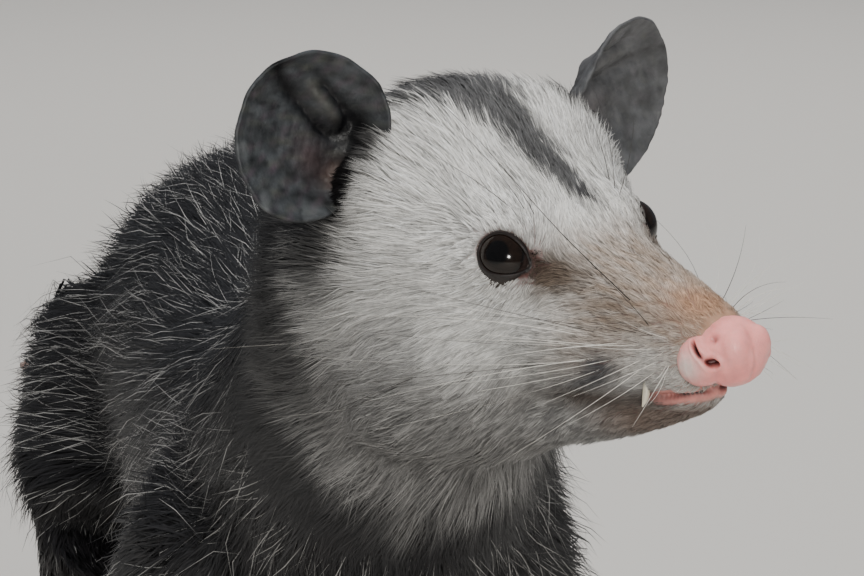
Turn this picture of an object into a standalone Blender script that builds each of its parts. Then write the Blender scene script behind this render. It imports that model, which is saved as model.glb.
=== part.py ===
"""A life-size Virginia opossum, standing low on its four feet with its head raised and turned to its left.

The body points along +X and the animal's left is +Y. Tables are in millimetres, and mm() turns them into metres.
The form is blocked out once up to half the depth of the coat, remeshed and smoothed, and the locks of the long
coat are set on it. Thin cuts then part it into its nodes.
"""

import math

import bmesh
import bpy
import numpy as np
from mathutils import Matrix, Quaternion, Vector
from mathutils.bvhtree import BVHTree

# Driving dimensions, in millimetres and degrees
HEAD_YAW, HEAD_PITCH, HEAD_ROLL = 33.0, 1.5, 3.6
HEAD_JOINT = (64, 9, 158)
JOINT_IN_HEAD = (-103, 0, 4)
EYE_AT = (-54, 19.0, 16.0)
EYE_RADIUS = 6.0
# The way that the left eye looks, in the head's frame, and how far its middle lies behind its place
EYE_GAZE, EYE_SINK = (0.42, 0.80, 0.42), 3.1
# The lids: how far out their ring lies from the gaze, its height over the eye's middle, and its thickness
LID_REACH, LID_HEIGHT, LID_CORNER_HEIGHT, LID_RADIUS = 5.3, 3.2, 2.2, 1.3
EAR_AT = (-87, 31, 26)
# From an ear's foot to the middle of its cup, and the way that the cup opens, for each side
EAR_MIDDLE = {1: (-2.1, 15.4, 7.0), -1: (-1.7, -6.8, 14.3)}
EAR_FACE = {1: (0.95, 0.22, -0.15), -1: (0.93, -0.30, 0.12)}
EAR_RADIUS, EAR_THICKNESS = 17.0, 1.2
GAP = 0.3
# Edges shorter than this are closed up after a cut
SLIVER = 0.004
# The most edges round a hole that is closed up with them
LARGEST_HOLE = 8
VOXEL, SMOOTHING_ROUNDS = 1.3, 70
NOSE_VOXEL, NOSE_SMOOTHING_ROUNDS = 0.5, 12
HEAD_TRIANGLES, COATED_HEAD_TRIANGLES = 2100, 3000
BODY_TRIANGLES, COATED_BODY_TRIANGLES = 3000, 6500
PAW_TRIANGLES = 280
NOSE_TRIANGLES = 300

# Locks of the long coat: distance between rows and within a row, length, width, and rise over the core
ROW_STEP, LOCK_STEP = 36.0, 38.0
LOCK_LENGTH, LOCK_WIDTH, LOCK_RISE = 62.0, 33.0, 6.5
RUFF_LENGTH, RUFF_WIDTH, RUFF_RISE = 27.0, 15.0, 3.4
# The first and last row's place, as distances along the trunk from the tail's root
FIRST_ROW, LAST_ROW = 16.0, 345.0
SEED = 7

# Colours of the parts: linear RGB and roughness
COAT_WHITE = ((0.55, 0.54, 0.51), 0.9)
COAT_GREY = ((0.11, 0.11, 0.115), 0.9)
COAT_DARK = ((0.03, 0.03, 0.033), 0.9)
SKIN_PINK = ((0.62, 0.28, 0.25), 0.5)
EAR_SKIN = ((0.03, 0.035, 0.04), 0.55)
EYE_BLACK = ((0.006, 0.005, 0.005), 0.05)

# Trunk, from the tail's root to inside the head: x, y, z, half width, half height
TRUNK = (
    (-264, 0, 80, 9, 9),
    (-252, 1, 81, 20, 21),
    (-230, 3, 84, 35, 36),
    (-194, 5, 87, 44, 46),
    (-150, 6, 89, 46, 48),
    (-104, 6, 89, 45, 47),
    (-60, 5, 91, 43, 45),
    (-20, 4, 96, 39.5, 42),
    (12, 4, 107, 36, 39),
    (36, 5, 123, 33, 36),
    (56, 8, 141, 31, 34),
    (76, 19, 155, 26, 28),
)
# Skull and upper jaw in the head's frame: x behind the nose, top z, bottom z, half width, squareness
UPPER_HEAD = (
    (-4.0, 4.0, -4.0, 5.0, 2.0),
    (-9.0, 8.0, -7.0, 7.6, 2.1),
    (-14, 9.8, -8.4, 9.0, 2.2),
    (-22, 12.4, -10.0, 11.4, 2.3),
    (-32, 15.5, -12.0, 14.4, 2.3),
    (-43, 19.5, -14.5, 18.2, 2.2),
    (-54, 26.0, -17.5, 23.0, 2.1),
    (-64, 34.0, -21.0, 30.5, 2.15),
    (-74, 41.5, -25.0, 35.5, 2.2),
    (-84, 45.5, -29.0, 37.5, 2.2),
    (-94, 45.5, -32.0, 37.5, 2.1),
    (-105, 41.0, -33.0, 35.5, 2.0),
    (-118, 32.0, -33.0, 31.0, 2.0),
    (-128, 15.0, -16.0, 14.0, 2.0),
)
LOWER_JAW = (
    (-11.0, -9.5, -12.5, 3.0, 2.0),
    (-14.5, -8.0, -15.6, 5.8, 2.1),
    (-22, -7.0, -18.8, 8.0, 2.1),
    (-32, -7.0, -22.6, 11.0, 2.1),
    (-44, -7.0, -26.2, 15.0, 2.0),
    (-58, -7.0, -30.0, 21.0, 2.0),
    (-76, -6.0, -34.0, 27.0, 2.0),
    (-92, -6.0, -34.0, 24.0, 2.0),
)
# Rounded masses on both sides of the head: centre, radii
HEAD_MASSES = (
    ((-78, 20, -9), (26, 17, 21)),
    ((-60, 12, 20), (14, 8, 7)),
    ((-23, 5.6, -3.4), (17, 6.0, 7.6)),
    ((-50, 12, -3), (24, 9.3, 11)),
    ((-84, 14, 24), (18, 21, 17)),
)
# The lip line on one side, from the middle of the front to the corner of the mouth
MOUTH_LINE = (
    (-10.5, 0, -9.6),
    (-15, 5.0, -10.0),
    (-22, 8.0, -11.6),
    (-32, 11.4, -12.8),
    (-42, 14.8, -12.6),
    (-50, 17.4, -13.4),
)
JAW_BACK = (-72, -50)
# The longest whiskers of the left side, in the head's frame: root, way out, length, and how far the tip bends away
WHISKERS = (
    ((-16, 11.0, 2.5), (0.30, 0.90, 0.35), 16, (-2, -1, 1)),
    ((-20, 12.0, 4.5), (0.10, 0.65, 0.75), 18, (-5, 0, 1)),
    ((-15, 10.5, -3.5), (0.35, 0.85, -0.45), 17, (-3, -1, -2)),
    ((-26, 13.5, 0.0), (-0.35, 0.95, 0.10), 32, (-9, -4, -5)),
    ((-30, 15.0, -3.0), (-0.90, 0.85, -0.10), 46, (-12, -6, -7)),
    ((-33, 15.0, 1.0), (-1.00, 0.65, 0.25), 54, (-12, -4, -10)),
)
WHISKER_RADIUS = 0.45
# Legs, for the animal's left: x, y, z, radius
FORELEG = (
    (4, 22, 92, 24),
    (-4, 31, 72, 20.5),
    (-11, 37, 54, 16),
    (-8, 40, 38, 12.0),
    (0, 41, 25, 9.4),
    (6, 42, 14, 8.2),
    (10, 42.5, 6, 7.5),
)
THIGH = ((-196, 20, 84, 34), (-182, 32, 66, 29), (-166, 40, 46, 20))
SHANK = ((-164, 40, 48, 18), (-178, 43, 33, 14), (-195, 45, 20, 10.4), (-202, 45, 10, 8.6), (-201, 45, 6, 7.5))
PALM = ((20, 43.5, 5.5), (13.5, 10.5, 6.2))
SOLE = (((-188, 46, 5.5), (18, 9, 6.2)), ((-172, 48, 5.5), (13, 10.5, 6.0)))
TOE_RADIUS = 2.9
# Toes, for the animal's left: how far round from straight ahead, start distance, end distance from the palm's middle
FORE_TOES = ((-58, 7, 20), (-26, 8, 25), (-2, 8, 27), (22, 8, 26), (48, 7, 22))
HIND_TOES = ((-14, 6, 24), (4, 7, 27), (22, 7, 27), (40, 6, 24))
THUMB = ((-182, 41, 5.2), (-176, 31, 4.6), (-168, 24, 3.6))
THUMB_RADIUS = 4.0
FORE_STEP = {1: 8, -1: -10}
HIND_STEP = {1: -10, -1: 10}
CLAW_LENGTH, CLAW_RADIUS = 6.5, 1.1
# Tail: x, y, z, radius. Beyond the fifth point it lies on the floor
TAIL = (
    (-246, 0, 82, 15),
    (-264, 1, 76, 12.6),
    (-286, 3, 62, 11.2),
    (-307, 7, 40, 10.0),
    (-330, 13, 19, 9.0),
    (-358, 21, 8.0, 8.2),
    (-390, 29, 6.8, 7.2),
    (-424, 33, 5.8, 6.2),
    (-458, 29, 4.9, 5.3),
    (-490, 17, 4.1, 4.5),
    (-518, -1, 3.3, 3.7),
    (-538, -22, 2.5, 2.9),
    (-547, -36, 1.8, 2.0),
)

# Cutting planes: a point and a direction, in millimetres
NECK_CUT = ((50, 6, 136), (0.83, 0.27, 0.48))
TORSO_CUT = ((12, 1, 108), (0.86, 0.08, 0.50))
# Behind the neck's cut, where the head's own copy of the form ends while locks are set on it
HEAD_CROP = ((20, -4, 110), NECK_CUT[1])
WAIST_CUT = ((-112, 0, 86), (1, 0, 0))
TAIL_CUTS = (
    ((-259, 1, 79), (0.92, -0.04, 0.38)),
    ((-312, 8, 35), (0.70, -0.17, 0.69)),
    ((-392, 29, 7), (0.99, -0.16, 0.0)),
    ((-466, 26, 5), (0.95, 0.30, 0.0)),
)
PAW_TOP = 15.5
# Seen from the side, the blocks that part the legs from the trunk, and the y of their inner sides
LEG_INNER = 21.0
FORELEG_BLOCK = ((-36, -20), (26, -20), (26, 62), (16, 76), (-18, 76), (-36, 56))
HINDLEG_BLOCK = ((-236, -20), (-143, -20), (-143, 54), (-158, 74), (-200, 80), (-236, 56))
LEG_HEIGHT = 90.0
# The lowest and highest x of the blocks round the feet
FOREFOOT_REACH, HINDFOOT_REACH = (-40, 70), (-230, -110)


def mm(*values):
    """Millimetres as a vector in metres."""
    return Vector(values) * 0.001


def head_frame():
    """The head's own frame, with x to the nose, y to its left and z up, set in the body's."""
    turn = Matrix.Rotation(math.radians(HEAD_YAW), 4, "Z")
    turn @= Matrix.Rotation(-math.radians(HEAD_PITCH), 4, "Y")
    turn @= Matrix.Rotation(math.radians(HEAD_ROLL), 4, "X")
    return Matrix.Translation(mm(*HEAD_JOINT)) @ turn @ Matrix.Translation(-mm(*JOINT_IN_HEAD))


HEAD = head_frame()
BODY = Matrix.Identity(4)


def material(name, look):
    """A plain material of one colour."""
    made = bpy.data.materials.new(name)
    made.use_nodes = True
    shader = made.node_tree.nodes["Principled BSDF"]
    shader.inputs["Base Color"].default_value = (*look[0], 1)
    shader.inputs["Roughness"].default_value = look[1]
    shader.inputs["Metallic"].default_value = 0.0
    return made


def object_of(name, mesh, collection):
    """A new object with this mesh, in this collection."""
    made = bpy.data.objects.new(name, mesh)
    collection.objects.link(made)
    return made


def mesh_of(name, build):
    """A mesh from a bmesh filled by build(), with its normals pointing out."""
    mesh = bpy.data.meshes.new(name)
    work = bmesh.new()
    build(work)
    bmesh.ops.recalc_face_normals(work, faces=work.faces)
    work.to_mesh(mesh)
    work.free()
    return mesh


def smooth_path(points, per_span):
    """Points on a Catmull-Rom curve through rows of numbers, per_span of them for each span."""
    rows = np.array(points, float)
    padded = np.vstack([2 * rows[0] - rows[1], rows, 2 * rows[-1] - rows[-2]])
    steps = np.linspace(0, 1, per_span, endpoint=False)[:, None]
    found = []
    for a, b, c, d in zip(padded, padded[1:], padded[2:], padded[3:]):
        found.append(
            0.5 * (2 * b + (c - a) * steps + (2 * a - 5 * b + 4 * c - d) * steps**2
                   + (3 * b - a - 3 * c + d) * steps**3)
        )
    return np.vstack([*found, rows[-1:]])


def ring_loft(work, rings):
    """Closes a tube over rings of points with flat end caps."""
    made = [[work.verts.new(point) for point in ring] for ring in rings]
    count = len(made[0])
    for near, far in zip(made, made[1:]):
        for i in range(count):
            j = (i + 1) % count
            work.faces.new((near[i], near[j], far[j], far[i]))
    work.faces.new(made[0])
    work.faces.new(made[-1])


def tube_rings(rows, frame, sides):
    """Elliptical rings square to the path of rows: x, y, z, half width and half height (or one radius)."""
    centres = [frame @ mm(*row[:3]) for row in rows]
    rings = []
    for i, row in enumerate(rows):
        along = (centres[min(i + 1, len(rows) - 1)] - centres[max(i - 1, 0)]).normalized()
        side = Vector((0, 0, 1)).cross(along)
        side = side.normalized() if side.length > 0.05 else Vector((0, 1, 0))
        up = along.cross(side)
        wide, high = row[3] * 0.001, row[-1] * 0.001
        angles = [2 * math.pi * k / sides for k in range(sides)]
        rings.append([centres[i] + side * (wide * math.cos(a)) + up * (high * math.sin(a)) for a in angles])
    return rings


def tube(rows, frame=BODY, per_span=4, sides=20):
    """A function that adds a smooth closed tube through these rows to a bmesh."""
    return lambda work: ring_loft(work, tube_rings(smooth_path(rows, per_span), frame, sides))


def head_loft(rows):
    """A function that adds a loft of rounded sections, square to the head's length, to a bmesh."""

    def section(x, top, bottom, wide, square):
        ring = []
        for k in range(28):
            angle = 2 * math.pi * k / 28
            across = math.copysign(abs(math.cos(angle)) ** (2 / square), math.cos(angle))
            rise = math.copysign(abs(math.sin(angle)) ** (2 / square), math.sin(angle))
            middle, half = (top + bottom) / 2, (top - bottom) / 2
            ring.append(HEAD @ mm(x, wide * across, middle + half * rise))
        return ring

    return lambda work: ring_loft(work, [section(*row) for row in smooth_path(rows, 4)])


def ball(centre, radii, frame=BODY, around=20):
    """A function that adds an ellipsoid to a bmesh."""
    place = frame @ Matrix.Translation(mm(*centre)) @ Matrix.Diagonal((*mm(*radii), 1))
    return lambda work: bmesh.ops.create_uvsphere(
        work, u_segments=around, v_segments=around // 2 + 2, radius=1, matrix=place
    )


def mirrored(point, side):
    """A point of the left side, or its mirror image on the right."""
    return (point[0], point[1] * side, *point[2:])


def shifted(rows, side, step):
    """A leg's rows on one side, moved along by the step of that foot. Its top stays in the body."""
    heights = [row[2] for row in rows]
    low, high = min(heights), max(heights)
    return [
        (row[0] + step * (high - row[2]) / (high - low), row[1] * side, *row[2:]) for row in rows
    ]


def toes(side, front):
    """The toes of one foot, as rows from the palm to the toe's end, without the thumb of a hind foot."""
    step = FORE_STEP[side] if front else HIND_STEP[side]
    centre = PALM[0] if front else SOLE[1][0]
    found = []
    for turn, start, end in FORE_TOES if front else HIND_TOES:
        angle = math.radians(turn)
        rows = []
        for reach, height, radius in ((start, 5.0, 1.25), ((start + end) / 2, 5.6, 1.0), (end, 2.6, 0.85)):
            rows.append(
                (
                    centre[0] + step + reach * math.cos(angle),
                    (centre[1] + reach * math.sin(angle)) * side,
                    height,
                    TOE_RADIUS * radius,
                )
            )
        found.append(rows)
    return found


def legs_and_feet():
    """All that the four legs are blocked out with."""
    pieces = []
    for side in (1, -1):
        fore, hind = FORE_STEP[side], HIND_STEP[side]
        pieces.append(tube(shifted(FORELEG, side, fore), sides=16))
        pieces.append(tube(shifted(THIGH + SHANK, side, hind)[:3], sides=16))
        pieces.append(tube(shifted(THIGH + SHANK, side, hind)[3:], sides=16))
        for (centre, radii), step in ((PALM, fore), (SOLE[0], hind), (SOLE[1], hind)):
            pieces.append(ball((centre[0] + step, centre[1] * side, centre[2]), radii))
        for rows in toes(side, True) + toes(side, False):
            pieces.append(tube(rows, sides=10))
            pieces.append(ball(rows[-1][:3], (rows[-1][3],) * 3, around=10))
        thumb = [(x + hind, y * side, z) for x, y, z in THUMB]
        pieces.append(tube([(*point, THUMB_RADIUS * size) for point, size in zip(thumb, (1.2, 1.0, 0.9))]))
        pieces.append(ball(thumb[-1], (THUMB_RADIUS * 0.9,) * 3, around=10))
    return pieces


def head_pieces():
    """All that the head is blocked out with, apart from the nose, eyes and ears."""
    pieces = [head_loft(UPPER_HEAD), head_loft(LOWER_JAW)]
    for side in (1, -1):
        for centre, radii in HEAD_MASSES:
            pieces.append(ball(mirrored(centre, side), radii, HEAD))
    return pieces


def softness(point):
    """How far the blocked-out form is smoothed at a point: fully on the body, little on snout and feet."""
    in_head = HEAD.inverted() @ point * 1000
    snout = min(max((in_head.x + 66) / 44, 0), 1)
    foot = min(max((26 - point.z * 1000) / 12, 0), 1)
    return 1 - max(0.5 * snout, 0.86 * foot)


def blocked_out(name, pieces, voxel, rounds, collection):
    """One smooth closed skin over all the pieces."""
    mesh = mesh_of(name, lambda work: [piece(work) for piece in pieces])
    made = object_of(name, mesh, collection)
    remesh = made.modifiers.new("Skin", "REMESH")
    remesh.mode = "VOXEL"
    remesh.voxel_size = voxel * 0.001
    apply_modifiers(made)
    weights = made.vertex_groups.new(name="softness")
    for vert in made.data.vertices:
        weights.add([vert.index], softness(vert.co), "REPLACE")
    soften = made.modifiers.new("Soften", "SMOOTH")
    soften.factor = 0.5
    soften.iterations = rounds
    soften.vertex_group = weights.name
    apply_modifiers(made)
    return made


def apply_modifiers(made):
    """Makes an object's modifiers part of its mesh."""
    graph = bpy.context.evaluated_depsgraph_get()
    mesh = bpy.data.meshes.new_from_object(made.evaluated_get(graph))
    old = made.data
    made.modifiers.clear()
    made.data = mesh
    bpy.data.meshes.remove(old)


def copy_of(source, name, collection):
    """An object with its own copy of another's mesh."""
    return object_of(name, source.data.copy(), collection)


def decimated(made, triangles):
    """Brings a mesh down to about this many triangles."""
    made.data.calc_loop_triangles()
    simplify = made.modifiers.new("Simplify", "DECIMATE")
    simplify.ratio = min(1.0, triangles / len(made.data.loop_triangles))
    simplify.use_collapse_triangulate = True
    apply_modifiers(made)


def boolean(made, other, operation, mend=False):
    """Cuts or joins made with other, which is then removed. It can also mend faces of made that cross."""
    step = made.modifiers.new("Boolean", "BOOLEAN")
    step.operation = operation
    step.object = other
    step.solver = "EXACT"
    step.use_self = mend
    apply_modifiers(made)
    old = other.data
    bpy.data.objects.remove(other)
    bpy.data.meshes.remove(old)
    keep_largest(made)


def keep_largest(made):
    """Leaves only the largest surface of a mesh, and closes what slivers left open in it."""
    work = bmesh.new()
    work.from_mesh(made.data)
    islands, seen = [], set()
    for face in work.faces:
        if face in seen:
            continue
        seen.add(face)
        stack, island = [face], []
        while stack:
            current = stack.pop()
            island.append(current)
            for edge in current.edges:
                for near in edge.link_faces:
                    if near not in seen:
                        seen.add(near)
                        stack.append(near)
        islands.append(island)
    islands.sort(key=lambda island: -sum(face.calc_area() for face in island))
    for island in islands[1:]:
        bmesh.ops.delete(work, geom=island, context="FACES")
    loose = [vert for vert in work.verts if not vert.link_faces]
    bmesh.ops.delete(work, geom=loose, context="VERTS")
    bmesh.ops.dissolve_degenerate(work, dist=SLIVER * 0.001, edges=work.edges)
    bmesh.ops.holes_fill(work, edges=work.edges, sides=LARGEST_HOLE)
    bmesh.ops.triangulate(work, faces=work.faces)
    work.to_mesh(made.data)
    work.free()


def slab(name, low, high, collection, frame=BODY):
    """A box between two corners given in millimetres in a frame."""

    def build(work):
        middle = (mm(*low) + mm(*high)) / 2
        size = mm(*high) - mm(*low)
        place = frame @ Matrix.Translation(middle) @ Matrix.Diagonal((*size, 1))
        bmesh.ops.create_cube(work, size=1, matrix=place)

    made = object_of(name, mesh_of(name, build), collection)
    made.hide_render = True
    made.display_type = "WIRE"
    return made


def plane_frame(cut):
    """A frame with its x along a cutting plane's direction and its origin at the plane's point."""
    along = Vector(cut[1]).normalized()
    side = Vector((0, 0, 1)).cross(along).normalized()
    up = along.cross(side)
    turn = Matrix((along, side, up)).transposed().to_4x4()
    return Matrix.Translation(mm(*cut[0])) @ turn


def keep_ahead(made, cut, reach, cutters):
    """Keeps what lies ahead of a cutting plane, half a gap clear of it."""
    wide = 160
    box = slab("ahead", (GAP / 2, -wide, -wide), (reach, wide, wide), cutters, plane_frame(cut))
    boolean(made, box, "INTERSECT")


def keep_behind(made, cut, reach, cutters):
    """Keeps what lies behind a cutting plane, half a gap clear of it."""
    wide = 160
    box = slab("behind", (-reach, -wide, -wide), (-GAP / 2, wide, wide), cutters, plane_frame(cut))
    boolean(made, box, "INTERSECT")


def surface_of(made):
    """What finds the nearest point of a mesh."""
    verts = [vert.co for vert in made.data.vertices]
    return BVHTree.FromPolygons(verts, [tuple(face.vertices) for face in made.data.polygons])


def lock(surface, root, lie_at, size, collection):
    """A flat, tapered lock that starts in a surface, follows the coat's lie along it and ends free above it."""
    length, wide, rise = size
    # Each ring's place along the lock, width, and height of the upper and the lower side
    rings = ((0.0, 0.62, -0.10, -0.75), (0.26, 1.0, 0.55, -0.6), (0.55, 0.86, 0.88, -0.35), (0.80, 0.5, 1.02, 0.30))

    def build(work):
        point, normal, _, _ = surface.find_nearest(root)
        made, reached = [], 0.0
        for place, width, upper, lower in rings + ((1.0, 0.0, 1.0, 1.0),):
            lie = lie_at(point)
            lie = (lie - normal * lie.dot(normal)).normalized()
            point, normal, _, _ = surface.find_nearest(point + lie * (length * (place - reached)))
            reached = place
            side = normal.cross(lie).normalized()
            if width == 0.0:
                tip = work.verts.new(point + normal * (rise * upper))
                continue
            half, middle = side * (wide * width / 2), (upper + lower) / 2
            offsets = (-half + normal * (rise * middle), normal * (rise * upper),
                       half + normal * (rise * middle), normal * (rise * lower))
            made.append([work.verts.new(point + offset) for offset in offsets])
        for near, far in zip(made, made[1:]):
            for i in range(4):
                work.faces.new((near[i], near[(i + 1) % 4], far[(i + 1) % 4], far[i]))
        for i in range(4):
            work.faces.new((made[-1][i], made[-1][(i + 1) % 4], tip))
        work.faces.new(made[0])
        bmesh.ops.triangulate(work, faces=work.faces)

    return object_of("lock", mesh_of("lock", build), collection)


def trunk_path():
    """Points along the trunk's middle, the way towards the tail at each, and the distance from the tail's root."""
    points = [mm(*row[:3]) for row in smooth_path(TRUNK, 6)]
    ways = [(points[max(i - 1, 0)] - points[min(i + 1, len(points) - 1)]).normalized() for i in range(len(points))]
    distances = [0.0]
    for near, far in zip(points, points[1:]):
        distances.append(distances[-1] + (far - near).length)
    return points, ways, distances


def trunk_locks(made, draw, collection):
    """Rows of locks round the trunk and neck, laid back towards the tail and down over the sides."""
    surface = surface_of(made)
    points, ways, distances = trunk_path()

    def nearest(point):
        return min(range(len(points)), key=lambda i: (points[i] - point).length_squared)

    def lie_at(point):
        i = nearest(point)
        aside = abs(point.y - points[i].y) / max((point - points[i]).length, 0.001)
        return ways[i] + Vector((0, 0, -0.4 * aside))

    rows = int((LAST_ROW - FIRST_ROW) / ROW_STEP) + 1
    for row in range(rows):
        place = (FIRST_ROW + row * ROW_STEP) * 0.001
        i = min(range(len(points)), key=lambda k: abs(distances[k] - place))
        side = Vector((0, 0, 1)).cross(ways[i]).normalized()
        up = ways[i].cross(side)
        _, _, _, reach = surface.ray_cast(points[i], Vector((0, 0, 1)))
        count = max(5, round(2 * math.pi * reach * 1000 / LOCK_STEP))
        for k in range(count):
            angle = 2 * math.pi * (k + 0.5 * (row % 2) + draw.uniform(-0.18, 0.18)) / count
            start = points[i] + ways[i] * (draw.uniform(-0.2, 0.2) * ROW_STEP * 0.001)
            way = side * math.cos(angle) + up * math.sin(angle)
            root, _, _, reach_there = surface.ray_cast(start, way)
            if root is None or reach_there > 1.5 * reach or root.z < 0.032:
                continue
            size = np.array((LOCK_LENGTH, LOCK_WIDTH, LOCK_RISE)) * draw.uniform(0.86, 1.12, 3) * 0.001
            turn = Quaternion(way, draw.uniform(-0.22, 0.22))
            lock(surface, root, lambda point: turn @ lie_at(point), [float(value) for value in size], collection)


def ruff_locks(made, draw, collection):
    """The ruff's locks on the back of both cheeks, from below the ears to the throat."""
    surface = surface_of(made)
    for side in (1, -1):
        for row, count in enumerate((4, 5)):
            for k in range(count):
                share = (k + 0.5 + draw.uniform(-0.2, 0.2)) / count
                angle = math.radians(28 - 118 * share)
                root = HEAD @ mm(-78 - 13 * row, 34 * math.cos(angle) * side, 36 * math.sin(angle))
                lie = HEAD.to_3x3() @ Vector((-1, 0.25 * side, -0.35 + draw.uniform(-0.2, 0.2)))
                size = np.array((RUFF_LENGTH, RUFF_WIDTH, RUFF_RISE)) * draw.uniform(0.85, 1.15, 3) * 0.001
                lock(surface, root, lambda point: lie, [float(value) for value in size], collection)


def fuse(made, pieces):
    """Joins made with every closed object of a collection, which is then emptied."""
    step = made.modifiers.new("Locks", "BOOLEAN")
    step.operation = "UNION"
    step.operand_type = "COLLECTION"
    step.collection = pieces
    step.solver = "EXACT"
    apply_modifiers(made)
    for piece in list(pieces.objects):
        bpy.data.meshes.remove(piece.data)
    keep_largest(made)


def grown(made, amount, name, collection):
    """A copy pushed out along its normals, in millimetres."""
    copy = copy_of(made, name, collection)
    push = copy.modifiers.new("Push", "DISPLACE")
    push.strength = amount * 0.001
    push.mid_level = 0
    apply_modifiers(copy)
    copy.hide_render = True
    return copy


def eye_place(side):
    """Centre of an eyeball and the way that it looks, in the body's frame."""
    centre = HEAD @ mm(*mirrored(EYE_AT, side))
    gaze = HEAD.to_3x3() @ Vector(mirrored(EYE_GAZE, side)).normalized()
    return centre - gaze * (EYE_SINK * 0.001), gaze


def eyeball(side, radius, name, collection):
    """One eyeball, or its socket."""
    centre, gaze = eye_place(side)
    place = Matrix.Translation(centre) @ gaze.to_track_quat("Z", "Y").to_matrix().to_4x4()

    def build(work):
        bmesh.ops.create_uvsphere(work, u_segments=14, v_segments=8, radius=radius * 0.001, matrix=place)

    return object_of(name, mesh_of(name, build), collection)


def lid_ring(side, collection):
    """The two lids round one eye, as a raised almond ring that the head takes in."""
    centre, gaze = eye_place(side)
    forward = HEAD.to_3x3() @ Vector((1, 0, -0.12))
    along = (forward - gaze * forward.dot(gaze)).normalized()
    up = gaze.cross(along) * side

    def build(work):
        rings = []
        for k in range(14):
            angle = 2 * math.pi * k / 14
            corner = 1 + 0.16 * math.cos(angle) ** 4
            outward = along * (math.cos(angle) * corner) + up * (math.sin(angle) * 0.93)
            height = LID_HEIGHT if abs(math.cos(angle)) < 0.9 else LID_CORNER_HEIGHT
            middle = centre + (outward * LID_REACH + gaze * height) * 0.001
            ring = []
            for j in range(5):
                turn = 2 * math.pi * j / 5
                away = outward.normalized() * math.cos(turn) + gaze * math.sin(turn)
                ring.append(middle + away * (LID_RADIUS * 0.001))
            rings.append(ring)
        verts = [[work.verts.new(point) for point in ring] for ring in rings]
        for k in range(14):
            for j in range(5):
                near, far = verts[k], verts[(k + 1) % 14]
                work.faces.new((near[j], near[(j + 1) % 5], far[(j + 1) % 5], far[j]))

    return object_of("lids", mesh_of("lids", build), collection)


def mouth_outline(lower):
    """Seen from the side, the outline of the block that holds the lower jaw, its upper edge lowered."""
    line = [(x, z - lower) for x, _, z in MOUTH_LINE]
    return [(12, line[0][1]), *line, (JAW_BACK[0] + lower, JAW_BACK[1]), (12, JAW_BACK[1])]


def side_block(name, outline, collection):
    """A block with this outline seen from the head's side, through its whole width."""

    def build(work):
        rings = []
        for y in (-60, 60):
            rings.append([HEAD @ mm(x, y, z) for x, z in outline])
        ring_loft(work, rings)

    made = object_of(name, mesh_of(name, build), collection)
    made.hide_render = True
    return made


def nose_pieces():
    """The nose pad with its two side wings."""
    pieces = [ball((-6.6, 0, -1.2), (7.0, 7.8, 7.2), HEAD)]
    for side in (1, -1):
        pieces.append(ball((-9.4, 6.0 * side, -2.4), (5.4, 4.6, 5.2), HEAD))
        pieces.append(ball((-2.8, 2.6 * side, 0.4), (3.2, 3.6, 4.0), HEAD))
    return pieces


def nostril(side, collection):
    """A comma-shaped slit in one side of the nose pad."""
    rows = [(-0.5, 4.6 * side, -2.6, 1.5), (-3.6, 7.6 * side, -2.2, 1.3), (-7.0, 10.4 * side, -0.6, 0.9)]
    made = object_of("nostril", mesh_of("nostril", tube(rows, HEAD, sides=8)), collection)
    made.hide_render = True
    return made


def ear_depth(reach, along, across):
    """How far an ear's surface lies behind its rim's plane: a cup, the funnel at its foot and two soft folds."""
    cup = 5.0 * (1 - reach**2)
    funnel = 6.0 * math.exp(-((along + 13) ** 2 + (across + 1) ** 2) / 60)
    turned = across + 0.36 * (along + 13)
    folds = 1.3 * math.exp(-((turned + 1) ** 2) / 5) + 1.0 * math.exp(-((turned + 7) ** 2) / 4)
    return cup + funnel + folds * (1 - reach**2) - 1.2 * reach**12


def ear(side, name, collection):
    """One ear: a thin round cup that opens forward and narrows to its foot in the head."""
    foot = HEAD @ mm(*mirrored(EAR_AT, side))
    turn = HEAD.to_3x3()
    middle = foot + turn @ mm(*EAR_MIDDLE[side])
    face = (turn @ Vector(EAR_FACE[side])).normalized()
    rise = middle - foot
    rise = (rise - face * rise.dot(face)).normalized()
    across = face.cross(rise) * -side
    rings, around = 5, 18

    def build(work):
        grid = []
        for i in range(rings + 1):
            reach = (i / rings) ** 0.8
            ring = []
            for k in range(around if i else 1):
                angle = 2 * math.pi * k / around
                lobe = 1 + 0.10 * max(0, math.cos(angle - 2.2)) ** 3
                along = EAR_RADIUS * lobe * reach * math.cos(angle)
                wide = EAR_RADIUS * lobe * reach * math.sin(angle)
                depth = ear_depth(reach, along, wide)
                ring.append(work.verts.new(middle + (rise * along + across * wide - face * depth) * 0.001))
            grid.append(ring)
        for k in range(around):
            work.faces.new((grid[0][0], grid[1][k], grid[1][(k + 1) % around]))
        for near, far in zip(grid[1:], grid[2:]):
            for k in range(around):
                j = (k + 1) % around
                work.faces.new((near[k], far[k], far[j], near[j]))
        bmesh.ops.triangulate(work, faces=work.faces)

    made = object_of(name, mesh_of(name, build), collection)
    shell = made.modifiers.new("Thickness", "SOLIDIFY")
    shell.thickness = EAR_THICKNESS * 0.001
    shell.offset = 0
    apply_modifiers(made)
    return made


def canine(side, collection):
    """The tip of one upper canine, standing out below the lip."""
    rows = [(-24.0, 8.8 * side, -9.0, 1.2), (-23.6, 9.4 * side, -12.4, 1.0), (-24.0, 9.8 * side, -14.8, 0.45)]
    return object_of("canine", mesh_of("canine", tube(rows, HEAD, per_span=1, sides=5)), collection)


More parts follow.
